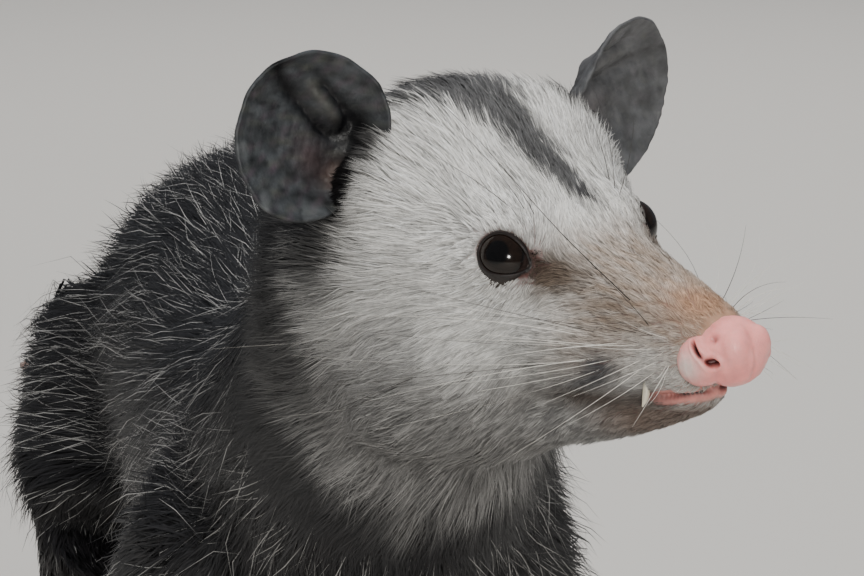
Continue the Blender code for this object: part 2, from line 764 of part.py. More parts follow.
def whisker(row, side, collection):
    """One long whisker, from inside the muzzle to its tip."""
    root, way, length, bend = (np.array(value, float) for value in row)
    way = way / np.linalg.norm(way)
    points = []
    for share, size in ((-0.05, 1.0), (0.33, 0.8), (0.67, 0.6), (1.0, 0.25)):
        place = root + way * length * share + bend * share**2
        points.append((*mirrored(place, side), WHISKER_RADIUS * size))
    return object_of("whisker", mesh_of("whisker", tube(points, HEAD, per_span=1, sides=3)), collection)


def claw(rows, collection):
    """A curved claw on the end of one toe."""
    start, before = Vector(rows[-1][:3]), Vector(rows[-2][:3])
    along = (start - before).normalized()
    flat = Vector((along.x, along.y, 0)).normalized()
    points = [
        (*(start - flat * 1.5 + Vector((0, 0, 0.4))), CLAW_RADIUS * 1.2),
        (*(start + flat * CLAW_LENGTH * 0.55 + Vector((0, 0, 0.5))), CLAW_RADIUS),
        (*(start + flat * CLAW_LENGTH + Vector((0, 0, -1.6))), CLAW_RADIUS * 0.35),
    ]
    return object_of("claw", mesh_of("claw", tube(points, per_span=1, sides=5)), collection)


def widened(outline, amount):
    """A convex outline, given counterclockwise, with each edge moved out by an amount."""
    edges = []
    for (x, z), (next_x, next_z) in zip(outline, outline[1:] + outline[:1]):
        length = math.hypot(next_x - x, next_z - z)
        out_x, out_z = (next_z - z) / length, (x - next_x) / length
        edges.append((out_x, out_z, out_x * x + out_z * z + amount))
    found = []
    for (a, b, c), (d, e, f) in zip(edges[-1:] + edges[:-1], edges):
        size = a * e - b * d
        found.append(((c * e - b * f) / size, (a * f - c * d) / size))
    return found


def leg_block(outline, side, step, grow, cutters):
    """The block round one leg, leaning as far as that leg steps, and grown by a distance."""
    leaning = [(x + step * (1 - z / LEG_HEIGHT), z) for x, z in outline]

    def build(work):
        inner, outer = (LEG_INNER - grow) * side, 160 * side
        ring_loft(work, [[mm(x, y, z) for x, z in widened(leaning, grow)] for y in (inner, outer)])

    made = object_of("leg_block", mesh_of("leg_block", build), cutters)
    made.hide_render = True
    return made


def foot_box(reach, low, high, side, cutters):
    """The box round one foot between two heights."""
    ys = sorted((side * 5, side * 160))
    return slab("foot_box", (reach[0], ys[0], low), (reach[1], ys[1], high), cutters)


def head_nodes(fine, parts, cutters, locks):
    """The head with its longest whiskers, its lower jaw, nose, eyes and ears."""
    head = copy_of(fine, "head", parts)
    keep_ahead(head, HEAD_CROP, 220, cutters)
    decimated(head, HEAD_TRIANGLES)
    ruff_locks(head, np.random.default_rng(SEED), locks)
    fuse(head, locks)
    decimated(head, COATED_HEAD_TRIANGLES)
    keep_ahead(head, NECK_CUT, 220, cutters)
    for side in (1, -1):
        boolean(head, lid_ring(side, cutters), "UNION")
    jaw = copy_of(head, "lower_jaw", parts)
    boolean(head, side_block("mouth", mouth_outline(0), cutters), "DIFFERENCE")
    boolean(jaw, side_block("mouth", mouth_outline(GAP), cutters), "INTERSECT")
    for side in (1, -1):
        boolean(head, canine(side, cutters), "UNION")
        for row in WHISKERS:
            whisker(row, side, locks)
    fuse(head, locks)

    nose = blocked_out("nose", nose_pieces(), NOSE_VOXEL, NOSE_SMOOTHING_ROUNDS, parts)
    for side in (1, -1):
        boolean(nose, nostril(side, cutters), "DIFFERENCE")
    decimated(nose, NOSE_TRIANGLES)
    for made in (head, jaw):
        boolean(made, grown(nose, GAP, "nose_room", cutters), "DIFFERENCE")
    nodes = {"head": head, "lower_jaw": jaw, "nose": nose}
    for side, word in ((1, "left"), (-1, "right")):
        eye = eyeball(side, EYE_RADIUS, f"eye_{word}", parts)
        boolean(head, eyeball(side, EYE_RADIUS + GAP, "socket", cutters), "DIFFERENCE")
        nodes[eye.name] = eye
    for side, word in ((1, "left"), (-1, "right")):
        made = ear(side, f"ear_{word}", parts)
        boolean(made, grown(head, GAP, "head_room", cutters), "DIFFERENCE")
        nodes[made.name] = made
    return nodes


def body_nodes(coarse, parts, cutters):
    """The neck, the two halves of the torso and the lengths of the tail."""
    nodes = {}
    neck = copy_of(coarse, "neck", parts)
    keep_behind(neck, NECK_CUT, 90, cutters)
    keep_ahead(neck, TORSO_CUT, 90, cutters)
    nodes["neck"] = neck
    front = copy_of(coarse, "torso_front", parts)
    keep_behind(front, TORSO_CUT, 300, cutters)
    keep_ahead(front, WAIST_CUT, 300, cutters)
    rear = copy_of(coarse, "torso_rear", parts)
    keep_behind(rear, WAIST_CUT, 300, cutters)
    keep_ahead(rear, TAIL_CUTS[0], 300, cutters)
    for made, outline, steps in ((front, FORELEG_BLOCK, FORE_STEP), (rear, HINDLEG_BLOCK, HIND_STEP)):
        for side in (1, -1):
            boolean(made, leg_block(outline, side, steps[side], GAP, cutters), "DIFFERENCE")
        nodes[made.name] = made
    for i, cut in enumerate(TAIL_CUTS):
        made = copy_of(coarse, f"tail_{i + 1}", parts)
        keep_behind(made, cut, 400, cutters)
        if i + 1 < len(TAIL_CUTS):
            keep_ahead(made, TAIL_CUTS[i + 1], 200, cutters)
        nodes[made.name] = made
    return nodes


def leg_nodes(fine, coarse, parts, cutters):
    """Each leg, and each foot with its claws."""
    nodes = {}
    for side, word in ((1, "left"), (-1, "right")):
        for front, outline, steps, reach in (
            (True, FORELEG_BLOCK, FORE_STEP, FOREFOOT_REACH),
            (False, HINDLEG_BLOCK, HIND_STEP, HINDFOOT_REACH),
        ):
            kind = "fore" if front else "hind"
            leg = copy_of(coarse, f"{kind}leg_{word}", parts)
            boolean(leg, leg_block(outline, side, steps[side], 0, cutters), "INTERSECT")
            high = slab("above_foot", (-400, -200, PAW_TOP + GAP / 2), (200, 200, 200), cutters)
            boolean(leg, high, "INTERSECT")
            paw = copy_of(fine, f"{kind}foot_{word}", parts)
            boolean(paw, foot_box(reach, -20, PAW_TOP + 4, side, cutters), "INTERSECT")
            decimated(paw, PAW_TRIANGLES)
            boolean(paw, foot_box(reach, 0, PAW_TOP - GAP / 2, side, cutters), "INTERSECT")
            for rows in toes(side, front):
                boolean(paw, claw(rows, cutters), "UNION")
            nodes[leg.name] = leg
            nodes[paw.name] = paw
    return nodes


def main():
    for old in list(bpy.data.objects):
        bpy.data.objects.remove(old)
    scene = bpy.context.scene
    parts = bpy.data.collections.new("opossum")
    cutters = bpy.data.collections.new("cutters")
    locks = bpy.data.collections.new("locks")
    for collection in (parts, cutters, locks):
        scene.collection.children.link(collection)
    looks = {
        "white": material("coat_white", COAT_WHITE),
        "grey": material("coat_grey", COAT_GREY),
        "dark": material("coat_dark", COAT_DARK),
        "pink": material("skin_pink", SKIN_PINK),
        "ear": material("ear_skin", EAR_SKIN),
        "eye": material("eye_black", EYE_BLACK),
    }

    pieces = [tube(TRUNK, sides=28), tube(TAIL, sides=14), *head_pieces(), *legs_and_feet()]
    fine = blocked_out("whole", pieces, VOXEL, SMOOTHING_ROUNDS, cutters)
    coarse = copy_of(fine, "whole_coarse", cutters)
    decimated(coarse, BODY_TRIANGLES)
    trunk_locks(coarse, np.random.default_rng(SEED), locks)
    fuse(coarse, locks)
    decimated(coarse, COATED_BODY_TRIANGLES)
    boolean(coarse, slab("above_floor", (-700, -200, 0), (300, 200, 400), cutters), "INTERSECT", True)
    nodes = head_nodes(fine, parts, cutters, locks)
    nodes.update(body_nodes(coarse, parts, cutters))
    nodes.update(leg_nodes(fine, coarse, parts, cutters))
    for source in (fine, coarse):
        source.hide_render = True
    for name, made in nodes.items():
        made.data.materials.clear()
        made.data.materials.append(looks[look_of(name)])
    recentre(list(nodes.values()))


def look_of(name):
    """Which material a node has."""
    if name in ("head", "lower_jaw"):
        return "white"
    if name == "nose" or name.startswith(("forefoot", "hindfoot", "tail_2", "tail_3", "tail_4")):
        return "pink"
    if name.startswith("ear"):
        return "ear"
    if name.startswith("eye"):
        return "eye"
    return "grey" if name in ("neck", "torso_front", "torso_rear") else "dark"


def recentre(nodes):
    """Moves all nodes so that the middle of the bottom of their common box is the origin."""
    points = np.array([made.matrix_world @ vert.co for made in nodes for vert in made.data.vertices])
    low, high = points.min(axis=0), points.max(axis=0)
    middle = (low + high) / 2
    move = Matrix.Translation((-middle[0], -middle[1], -low[2]))
    for made in nodes:
        made.data.transform(move)


main()
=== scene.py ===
"""Looks of a life-size Virginia opossum: its skin, coat, eyes, ears and whiskers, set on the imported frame.

Tables and arrays are in millimetres in the animal's own frame: the body points along +X and its left is +Y.
The head has its own frame, with x to the nose. SHIFT moves the animal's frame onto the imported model.
"""

import math
from collections import namedtuple

import bmesh
import bpy
import numpy as np
from mathutils import Matrix, Vector
from mathutils.bvhtree import BVHTree
from mathutils.kdtree import KDTree


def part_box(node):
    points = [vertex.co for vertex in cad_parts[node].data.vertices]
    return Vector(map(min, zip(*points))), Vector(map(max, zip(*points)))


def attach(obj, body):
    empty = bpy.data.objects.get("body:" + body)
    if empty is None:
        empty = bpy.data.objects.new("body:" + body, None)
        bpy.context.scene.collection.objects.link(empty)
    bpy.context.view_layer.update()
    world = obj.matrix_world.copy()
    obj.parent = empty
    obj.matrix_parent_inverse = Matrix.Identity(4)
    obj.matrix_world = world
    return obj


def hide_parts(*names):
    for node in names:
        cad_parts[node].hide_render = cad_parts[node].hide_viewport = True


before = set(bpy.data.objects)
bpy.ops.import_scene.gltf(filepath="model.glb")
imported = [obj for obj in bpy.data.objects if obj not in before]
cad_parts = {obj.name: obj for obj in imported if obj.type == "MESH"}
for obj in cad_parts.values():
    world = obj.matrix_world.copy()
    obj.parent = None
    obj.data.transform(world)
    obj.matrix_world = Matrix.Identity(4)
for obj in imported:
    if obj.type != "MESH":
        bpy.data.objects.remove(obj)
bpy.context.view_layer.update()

# Driving dimensions, in millimetres and degrees
HEAD_YAW, HEAD_PITCH, HEAD_ROLL = 33.0, 1.5, 3.6
HEAD_JOINT = (64, 9, 158)
JOINT_IN_HEAD = (-103, 0, 4)
EYE_AT = (-54, 19.0, 16.0)
EYE_RADIUS = 6.0
# The way that the left eye looks, how far its middle lies behind its place, and the bulge at its front
EYE_GAZE, EYE_SINK, EYE_BULGE = (0.42, 0.80, 0.42), 3.1, 0.10
# The eye's opening: from the middle to the inner corner, outer corner, upper and lower lid
EYE_INNER, EYE_OUTER, EYE_UPPER, EYE_LOWER = 6.2, 4.9, 4.05, 3.95
# The powers that make the opening an almond: along it, up, and for both together
ALMOND = (1.8, 1.9, 1.85)
EAR_AT = (-87, 31, 26)
# From an ear's foot to the middle of its cup, and the way that the cup opens, for each side
EAR_MIDDLE = {1: (-2.1, 15.4, 7.0), -1: (-1.7, -6.8, 14.3)}
EAR_FACE = {1: (0.93, 0.29, -0.15), -1: (0.93, -0.30, 0.12)}
EAR_RADIUS, EAR_SHELL = 17.0, 0.7
VOXEL = 1.3

# Trunk, from the tail's root to inside the head: x, y, z, half width, half height
TRUNK = (
    (-264, 0, 80, 9, 9),
    (-252, 1, 81, 20, 21),
    (-230, 3, 84, 35, 36),
    (-194, 5, 87, 44, 46),
    (-150, 6, 89, 46, 48),
    (-104, 6, 89, 45, 47),
    (-60, 5, 91, 43, 45),
    (-20, 4, 96, 39.5, 42),
    (12, 4, 107, 36, 39),
    (36, 5, 123, 33, 36),
    (56, 8, 141, 31, 34),
    (76, 19, 155, 26, 28),
)
# Skull and upper jaw in the head's frame: x behind the nose, top z, bottom z, half width, squareness
UPPER_HEAD = (
    (-4.0, 4.0, -4.0, 5.0, 2.0),
    (-9.0, 8.0, -7.0, 7.6, 2.1),
    (-14, 9.8, -8.4, 9.0, 2.2),
    (-22, 12.4, -10.0, 11.4, 2.3),
    (-32, 15.5, -12.0, 14.4, 2.3),
    (-43, 19.5, -14.5, 18.2, 2.2),
    (-54, 26.0, -17.5, 23.0, 2.1),
    (-64, 34.0, -21.0, 30.5, 2.15),
    (-74, 41.5, -25.0, 35.5, 2.2),
    (-84, 45.5, -29.0, 37.5, 2.2),
    (-94, 45.5, -32.0, 37.5, 2.1),
    (-105, 41.0, -33.0, 35.5, 2.0),
    (-118, 32.0, -33.0, 31.0, 2.0),
    (-128, 15.0, -16.0, 14.0, 2.0),
)
LOWER_JAW = (
    (-11.0, -9.5, -12.5, 3.0, 2.0),
    (-14.5, -8.0, -15.6, 5.8, 2.1),
    (-22, -7.0, -18.8, 8.0, 2.1),
    (-32, -7.0, -22.6, 11.0, 2.1),
    (-44, -7.0, -26.2, 15.0, 2.0),
    (-58, -7.0, -30.0, 21.0, 2.0),
    (-76, -6.0, -34.0, 27.0, 2.0),
    (-92, -6.0, -34.0, 24.0, 2.0),
)
# Rounded masses on both sides of the head: centre, radii
HEAD_MASSES = (
    ((-78, 20, -9), (26, 17, 21)),
    ((-60, 12, 20), (14, 8, 7)),
    ((-23, 5.6, -3.4), (17, 6.0, 7.6)),
    ((-50, 12, -3), (24, 9.3, 11)),
    ((-84, 14, 24), (18, 21, 17)),
)
# The lip line on one side, from the middle of the front to the corner of the mouth
MOUTH_LINE = (
    (-10.5, 0, -9.6),
    (-15, 5.0, -10.0),
    (-22, 8.0, -11.6),
    (-32, 11.4, -12.8),
    (-42, 14.8, -12.6),
    (-50, 17.4, -13.4),
)
# Legs, for the animal's left: x, y, z, radius
FORELEG = (
    (4, 22, 92, 24),
    (-4, 31, 72, 20.5),
    (-11, 37, 54, 16),
    (-8, 40, 38, 12.0),
    (0, 41, 25, 9.4),
    (6, 42, 14, 8.2),
    (10, 42.5, 6, 7.5),
)
THIGH = ((-196, 20, 84, 34), (-182, 32, 66, 29), (-166, 40, 46, 20))
SHANK = (
    (-164, 40, 48, 18), (-178, 43, 33, 14), (-195, 45, 20, 10.4), (-202, 45, 10, 8.6), (-201, 45, 6, 7.5),
)
PALM = ((20, 43.5, 5.5), (13.5, 10.5, 6.2))
SOLE = (((-188, 46, 5.5), (18, 9, 6.2)), ((-172, 48, 5.5), (13, 10.5, 6.0)))
TOE_RADIUS = 2.9
# Toes, for the animal's left: degrees from straight ahead, and start and end distance from the palm's middle
FORE_TOES = ((-58, 7, 20), (-26, 8, 25), (-2, 8, 27), (22, 8, 26), (48, 7, 22))
HIND_TOES = ((-14, 6, 24), (4, 7, 27), (22, 7, 27), (40, 6, 24))
THUMB = ((-182, 41, 5.2), (-176, 31, 4.6), (-168, 24, 3.6))
THUMB_RADIUS = 4.0
FORE_STEP = {1: 8, -1: -10}
HIND_STEP = {1: -10, -1: 10}
# A claw's section: how far ahead of the toe's end, how high over it, and its radius
CLAW = ((-1.5, 0.5, 1.25), (2.0, 1.1, 1.15), (4.5, 0.3, 0.8), (6.2, -1.5, 0.15))
# Tail: x, y, z, radius. Beyond the fifth point it lies on the floor
TAIL = (
    (-246, 0, 82, 15),
    (-264, 1, 76, 12.6),
    (-286, 3, 62, 11.2),
    (-307, 7, 40, 10.0),
    (-330, 13, 19, 9.0),
    (-358, 21, 8.0, 8.2),
    (-390, 29, 6.8, 7.2),
    (-424, 33, 5.8, 6.2),
    (-458, 29, 4.9, 5.3),
    (-490, 17, 4.1, 4.5),
    (-518, -1, 3.3, 3.7),
    (-538, -22, 2.5, 2.9),
    (-547, -36, 1.8, 2.0),
)


def mm(*values):
    """Millimetres as a vector in metres."""
    return Vector(values) * 0.001


def head_frame():
    """The head's own frame, with x to the nose, y to its left and z up, set in the body's."""
    turn = Matrix.Rotation(math.radians(HEAD_YAW), 4, "Z")
    turn @= Matrix.Rotation(-math.radians(HEAD_PITCH), 4, "Y")
    turn @= Matrix.Rotation(math.radians(HEAD_ROLL), 4, "X")
    return Matrix.Translation(mm(*HEAD_JOINT)) @ turn @ Matrix.Translation(-mm(*JOINT_IN_HEAD))


HEAD = head_frame()
BODY = Matrix.Identity(4)


def object_of(name, mesh, collection):
    """A new object with this mesh, in this collection."""
    made = bpy.data.objects.new(name, mesh)
    collection.objects.link(made)
    return made


def mesh_of(name, build):
    """A mesh from a bmesh filled by build(), with its normals pointing out."""
    mesh = bpy.data.meshes.new(name)
    work = bmesh.new()
    build(work)
    bmesh.ops.recalc_face_normals(work, faces=work.faces)
    work.to_mesh(mesh)
    work.free()
    return mesh


def smooth_path(points, per_span):
    """Points on a Catmull-Rom curve through rows of numbers, per_span of them for each span."""
    rows = np.array(points, float)
    padded = np.vstack([2 * rows[0] - rows[1], rows, 2 * rows[-1] - rows[-2]])
    steps = np.linspace(0, 1, per_span, endpoint=False)[:, None]
    found = []
    for a, b, c, d in zip(padded, padded[1:], padded[2:], padded[3:]):
        found.append(
            0.5 * (2 * b + (c - a) * steps + (2 * a - 5 * b + 4 * c - d) * steps**2
                   + (3 * b - a - 3 * c + d) * steps**3)
        )
    return np.vstack([*found, rows[-1:]])


def ring_loft(work, rings):
    """Closes a tube over rings of points with flat end caps."""
    made = [[work.verts.new(point) for point in ring] for ring in rings]
    count = len(made[0])
    for near, far in zip(made, made[1:]):
        for i in range(count):
            j = (i + 1) % count
            work.faces.new((near[i], near[j], far[j], far[i]))
    work.faces.new(made[0])
    work.faces.new(made[-1])


def tube_rings(rows, space, sides):
    """Elliptical rings square to the path of rows: x, y, z, half width and half height (or one radius)."""
    centres = [space @ mm(*row[:3]) for row in rows]
    rings = []
    for i, row in enumerate(rows):
        along = (centres[min(i + 1, len(rows) - 1)] - centres[max(i - 1, 0)]).normalized()
        side = Vector((0, 0, 1)).cross(along)
        side = side.normalized() if side.length > 0.05 else Vector((0, 1, 0))
        up = along.cross(side)
        wide, high = row[3] * 0.001, row[-1] * 0.001
        angles = [2 * math.pi * k / sides for k in range(sides)]
        rings.append([centres[i] + side * (wide * math.cos(a)) + up * (high * math.sin(a)) for a in angles])
    return rings


def tube(rows, space=BODY, per_span=4, sides=20):
    """A function that adds a smooth closed tube through these rows to a bmesh."""
    return lambda work: ring_loft(work, tube_rings(smooth_path(rows, per_span), space, sides))


def head_loft(rows):
    """A function that adds a loft of rounded sections, square to the head's length, to a bmesh."""

    def section(x, top, bottom, wide, square):
        ring = []
        for k in range(28):
            angle = 2 * math.pi * k / 28
            across = math.copysign(abs(math.cos(angle)) ** (2 / square), math.cos(angle))
            rise = math.copysign(abs(math.sin(angle)) ** (2 / square), math.sin(angle))
            middle, half = (top + bottom) / 2, (top - bottom) / 2
            ring.append(HEAD @ mm(x, wide * across, middle + half * rise))
        return ring

    return lambda work: ring_loft(work, [section(*row) for row in smooth_path(rows, 4)])


def ball(centre, radii, space=BODY, around=20):
    """A function that adds an ellipsoid to a bmesh."""
    place = space @ Matrix.Translation(mm(*centre)) @ Matrix.Diagonal((*mm(*radii), 1))
    return lambda work: bmesh.ops.create_uvsphere(
        work, u_segments=around, v_segments=around // 2 + 2, radius=1, matrix=place
    )


def mirrored(point, side):
    """A point of the left side, or its mirror image on the right."""
    return (point[0], point[1] * side, *point[2:])


def shifted(rows, side, step):
    """A leg's rows on one side, moved along by the step of that foot. Its top stays in the body."""
    heights = [row[2] for row in rows]
    low, high = min(heights), max(heights)
    return [
        (row[0] + step * (high - row[2]) / (high - low), row[1] * side, *row[2:]) for row in rows
    ]


def toes(side, front):
    """The toes of one foot, as rows from the palm to the toe's end, without the thumb of a hind foot."""
    step = FORE_STEP[side] if front else HIND_STEP[side]
    centre = PALM[0] if front else SOLE[1][0]
    found = []
    for turn, start, end in FORE_TOES if front else HIND_TOES:
        angle = math.radians(turn)
        rows = []
        for reach, height, radius in ((start, 5.0, 1.25), ((start + end) / 2, 5.6, 1.0), (end, 2.6, 0.85)):
            rows.append(
                (
                    centre[0] + step + reach * math.cos(angle),
                    (centre[1] + reach * math.sin(angle)) * side,
                    height,
                    TOE_RADIUS * radius,
                )
            )
        found.append(rows)
    return found


def legs_and_feet():
    """All that the four legs are blocked out with."""
    pieces = []
    for side in (1, -1):
        fore, hind = FORE_STEP[side], HIND_STEP[side]
        pieces.append(tube(shifted(FORELEG, side, fore), sides=16))
        pieces.append(tube(shifted(THIGH + SHANK, side, hind)[:3], sides=16))
        pieces.append(tube(shifted(THIGH + SHANK, side, hind)[3:], sides=16))
        for (centre, radii), step in ((PALM, fore), (SOLE[0], hind), (SOLE[1], hind)):
            pieces.append(ball((centre[0] + step, centre[1] * side, centre[2]), radii))
        for rows in toes(side, True) + toes(side, False):
            pieces.append(tube(rows, sides=10))
            pieces.append(ball(rows[-1][:3], (rows[-1][3],) * 3, around=10))
        thumb = [(x + hind, y * side, z) for x, y, z in THUMB]
        pieces.append(tube([(*point, THUMB_RADIUS * size) for point, size in zip(thumb, (1.2, 1.0, 0.9))]))
        pieces.append(ball(thumb[-1], (THUMB_RADIUS * 0.9,) * 3, around=10))
    return pieces


def head_pieces():
    """All that the head is blocked out with, apart from the nose, eyes and ears."""
    pieces = [head_loft(UPPER_HEAD), head_loft(LOWER_JAW)]
    for side in (1, -1):
        for centre, radii in HEAD_MASSES:
            pieces.append(ball(mirrored(centre, side), radii, HEAD))
    return pieces


# The planes between head and neck and between rump and tail: a point and a direction
NECK_PLANE = ((50, 6, 136), (0.83, 0.27, 0.48))
TAIL_PLANE = ((-259, 1, 79), (0.92, -0.04, 0.38))
# How far the skin lies inside the solids on trunk, legs and at the most on the head
TRUNK_DEPTH, LEG_DEPTH, HEAD_DEPTH = 5.0, 1.8, 4.2
SEED = 11
PIECE_TRIANGLES = 190000
PATCH = 0.0030

# The camera: azimuth, elevation, distance, the picture's width there, and its target from the near eye
AZIMUTH, ELEVATION = math.radians(83), math.radians(12)
CAMERA_DISTANCE, PICTURE_WIDTH = 1.5, 0.1758
TARGET_RIGHT, TARGET_UP = -0.01526, -0.0061

WHITE = np.array((0.90, 0.885, 0.85))
GREY = np.array((0.30, 0.295, 0.29))
DARK = np.array((0.024, 0.024, 0.026))
BLACK = np.array((0.012, 0.011, 0.012))
TAUPE = np.array((0.34, 0.26, 0.20))
BROWN = np.array((0.085, 0.055, 0.04))
STAIN = np.array((0.50, 0.30, 0.19))
PINK = np.array((0.95, 0.36, 0.335))
LIP = np.array((0.56, 0.22, 0.19))
FOOT = np.array((0.46, 0.25, 0.21))
SCALE = np.array((0.42, 0.30, 0.26))

Skin = namedtuple("Skin", "points normals triangles tree")


def stepped(value, low, high):
    """A smooth step from 0 at low to 1 at high."""
    share = np.clip((value - low) / (high - low), 0, 1)
    return share * share * (3 - 2 * share)


def unit(vectors):
    """Vectors brought to length 1."""
    return vectors / np.maximum(np.linalg.norm(vectors, axis=-1, keepdims=True), 1e-9)


def peak(value, width):
    """1 where a value is 0, fading over a width on both sides of it."""
    return np.exp(-((value / width) ** 2))


def peak_at(along, length, across, width):
    """A peak in two directions at once."""
    return np.exp(-((along / length) ** 2) - (across / width) ** 2)


def blob(points, centre, radii):
    """A soft spot: 1 at its centre, fading over its radii."""
    return np.exp(-(((points - np.array(centre)) / np.array(radii)) ** 2).sum(axis=1))


def both_sides(points, centre, radii):
    """A soft spot on both sides of the head."""
    return blob(points * (1, -1, 1), centre, radii) + blob(points, centre, radii)


def waves(points, length, seed):
    """Soft, even noise between about -1 and 1, with features about this many millimetres long."""
    draw = np.random.default_rng(seed)
    total = np.zeros(len(points))
    for _ in range(7):
        way = unit(draw.normal(size=3)) * (2 * math.pi / length) * draw.uniform(0.6, 1.4)
        total += np.sin(points @ way + draw.uniform(0, 2 * math.pi))
    return total / 3.0


def mixed(colour, other, share):
    """Rows of one colour mixed with another by shares."""
    return colour + (np.asarray(other) - colour) * np.clip(share, 0, 1)[:, None]


HEAD_TURN = np.array(HEAD.to_3x3())
HEAD_ORIGIN = np.array(HEAD.translation) * 1000


def in_head(points):
    """Points of the animal's frame in the head's frame."""
    return (points - HEAD_ORIGIN) @ HEAD_TURN


def from_head(points):
    """Points of the head's frame in the animal's frame."""
    return np.asarray(points, float) @ HEAD_TURN.T + HEAD_ORIGIN


def ahead_of(points, plane):
    """How far points lie ahead of a plane."""
    return (points - np.array(plane[0])) @ unit(np.array(plane[1], float))


def behind_head(points):
    """0 on the head to 1 on the body, across the neck's plane."""
    return stepped(-ahead_of(points, NECK_PLANE), -8, 14)


def eye_place(side):
    """Centre of an eyeball and the way that it looks, as arrays in the animal's frame."""
    gaze = unit(np.array(mirrored(EYE_GAZE, side)))
    centre = np.array(mirrored(EYE_AT, side)) - gaze * EYE_SINK
    return from_head(centre), HEAD_TURN @ gaze


def frame_shift():
    """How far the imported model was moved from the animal's own frame, in metres."""
    low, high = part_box("eye_right")
    return (np.array(low) + np.array(high)) / 2 - eye_place(-1)[0] * 0.001


SHIFT = frame_shift()


def eye_axes(side):
    """An eye's centre, and its axes: towards the nose, up, and out along its gaze."""
    centre, gaze = eye_place(side)
    forward = HEAD_TURN @ np.array((1, 0, -0.12))
    along = unit(forward - gaze * (forward @ gaze))
    return centre, np.array((along, np.cross(gaze, along) * side, gaze))


# Points this far behind an eye's middle count as far outside its opening
BEHIND_EYE, FAR_OUT = -5, 20


def opening(side, points):
    """Points in an eye's axes, and how far out of its opening they lie: below 1 is inside the lids' edge."""
    centre, axes = eye_axes(side)
    local = (points - centre) @ axes.T
    inner = local[:, 0] > 0
    wide = np.where(inner, EYE_INNER, EYE_OUTER)
    high = np.where(local[:, 1] > 0, EYE_UPPER, EYE_LOWER)
    reach = (np.abs(local[:, 0]) / wide) ** ALMOND[0] + (np.abs(local[:, 1]) / high) ** ALMOND[1]
    return local, reach ** (1 / ALMOND[2]) + FAR_OUT * (local[:, 2] < BEHIND_EYE)


MOUTH = from_head(smooth_path(MOUTH_LINE + ((-53, 18.6, -14.6),), 8))
MOUTH_BOTH = np.vstack([MOUTH, from_head(in_head(MOUTH) * (1, -1, 1))])


def mouth_distance(points):
    """Distance of points from the lip line, worked out only near the snout."""
    found = np.full(len(points), 99.0)
    near = in_head(points)[:, 0] > -66
    rows = points[near]
    squares = ((rows[:, None, :] - MOUTH_BOTH[None]) ** 2).sum(axis=2)
    found[near] = np.sqrt(squares.min(axis=1))
    return found


def leg_share(points):
    """How far points belong to the legs: 0 on the trunk to 1 below it."""
    low = stepped(-points[:, 2], -72, -50)
    aside = stepped(np.abs(points[:, 1]), 8, 20)
    return low * aside * stepped(points[:, 0], -262, -250)


# The middles of the short dark hair round an ear's foot, in the head's frame on its left
EAR_BASE = ((-87, 32, 29), (-92, 27, 38))


def coat_length(points):
    """Length of the coat at points, without the body's long guard hairs."""
    head = in_head(points)
    x, y, z = head.T
    length = np.interp(x, (-105, -85, -70, -55, -40, -25, -12, -3), (13, 10.5, 8.2, 6.0, 4.2, 3.0, 2.0, 1.4))
    cheek = stepped(np.abs(y), 18, 32) * stepped(-x, 60, 92)
    low = stepped(-z, 8, 26) * stepped(-x, 36, 70)
    length = length * (1 + 0.55 * cheek + 0.6 * low)
    for side in (1, -1):
        length *= 0.30 + 0.70 * stepped(opening(side, points)[1], 1.15, 2.6)
        for middle in EAR_BASE:
            ear = np.linalg.norm(head - mirrored(middle, side), axis=1)
            length *= 0.35 + 0.65 * stepped(ear, 5, 12)
    length *= 1 + 0.7 * blob(head, (-74, 33, 24), (13, 9, 12))
    body = 19 - 11.5 * leg_share(points)
    body = body * (0.25 + 0.75 * stepped(points[:, 2], 8, 34))
    body = body * (1 - 0.66 * stepped(-ahead_of(points, TAIL_PLANE), -34, 26))
    return length + (body - length) * behind_head(points)


def skin_depth(points):
    """How far the skin lies inside the solids at points."""
    head = np.minimum(0.42 * coat_length(points), HEAD_DEPTH)
    leg = leg_share(points)
    body = TRUNK_DEPTH * (1 - leg) + LEG_DEPTH * leg
    body = body * stepped(points[:, 2], 12, 30)
    tail = stepped(-ahead_of(points, TAIL_PLANE), 0, 26)
    body = body * (1 - tail)
    return head + (body - head) * behind_head(points)


def softness(point):
    """How far the blocked-out form is smoothed at a point: fully on the body, little on snout and feet."""
    in_snout = HEAD.inverted() @ point * 1000
    snout = min(max((in_snout.x + 66) / 44, 0), 1)
    foot = min(max((26 - point.z * 1000) / 12, 0), 1)
    return 1 - max(0.5 * snout, 0.86 * foot)


def apply_modifiers(made):
    """Makes an object's modifiers part of its mesh."""
    graph = bpy.context.evaluated_depsgraph_get()
    mesh = bpy.data.meshes.new_from_object(made.evaluated_get(graph))
    old = made.data
    made.modifiers.clear()
    made.data = mesh
    bpy.data.meshes.remove(old)


def blocked_out(name, pieces, voxel, rounds):
    """One smooth closed skin over all the pieces, in metres in the animal's frame."""
    mesh = mesh_of(name, lambda work: [piece(work) for piece in pieces])
    made = object_of(name, mesh, bpy.context.scene.collection)
    remesh = made.modifiers.new("Skin", "REMESH")
    remesh.mode = "VOXEL"
    remesh.voxel_size = voxel * 0.001
    apply_modifiers(made)
    weights = made.vertex_groups.new(name="softness")
    shares = {}
    for vert in made.data.vertices:
        shares.setdefault(round(softness(vert.co), 2), []).append(vert.index)
    for share, indices in shares.items():
        weights.add(indices, share, "REPLACE")
    soften = made.modifiers.new("Soften", "SMOOTH")
    soften.factor = 0.5
    soften.iterations = rounds
    soften.vertex_group = weights.name
    apply_modifiers(made)
    return made


def points_of(made):
    """A mesh's points in millimetres."""
    found = np.empty(len(made.data.vertices) * 3, np.float32)
    made.data.vertices.foreach_get("co", found)
    return found.reshape(-1, 3).astype(float) * 1000


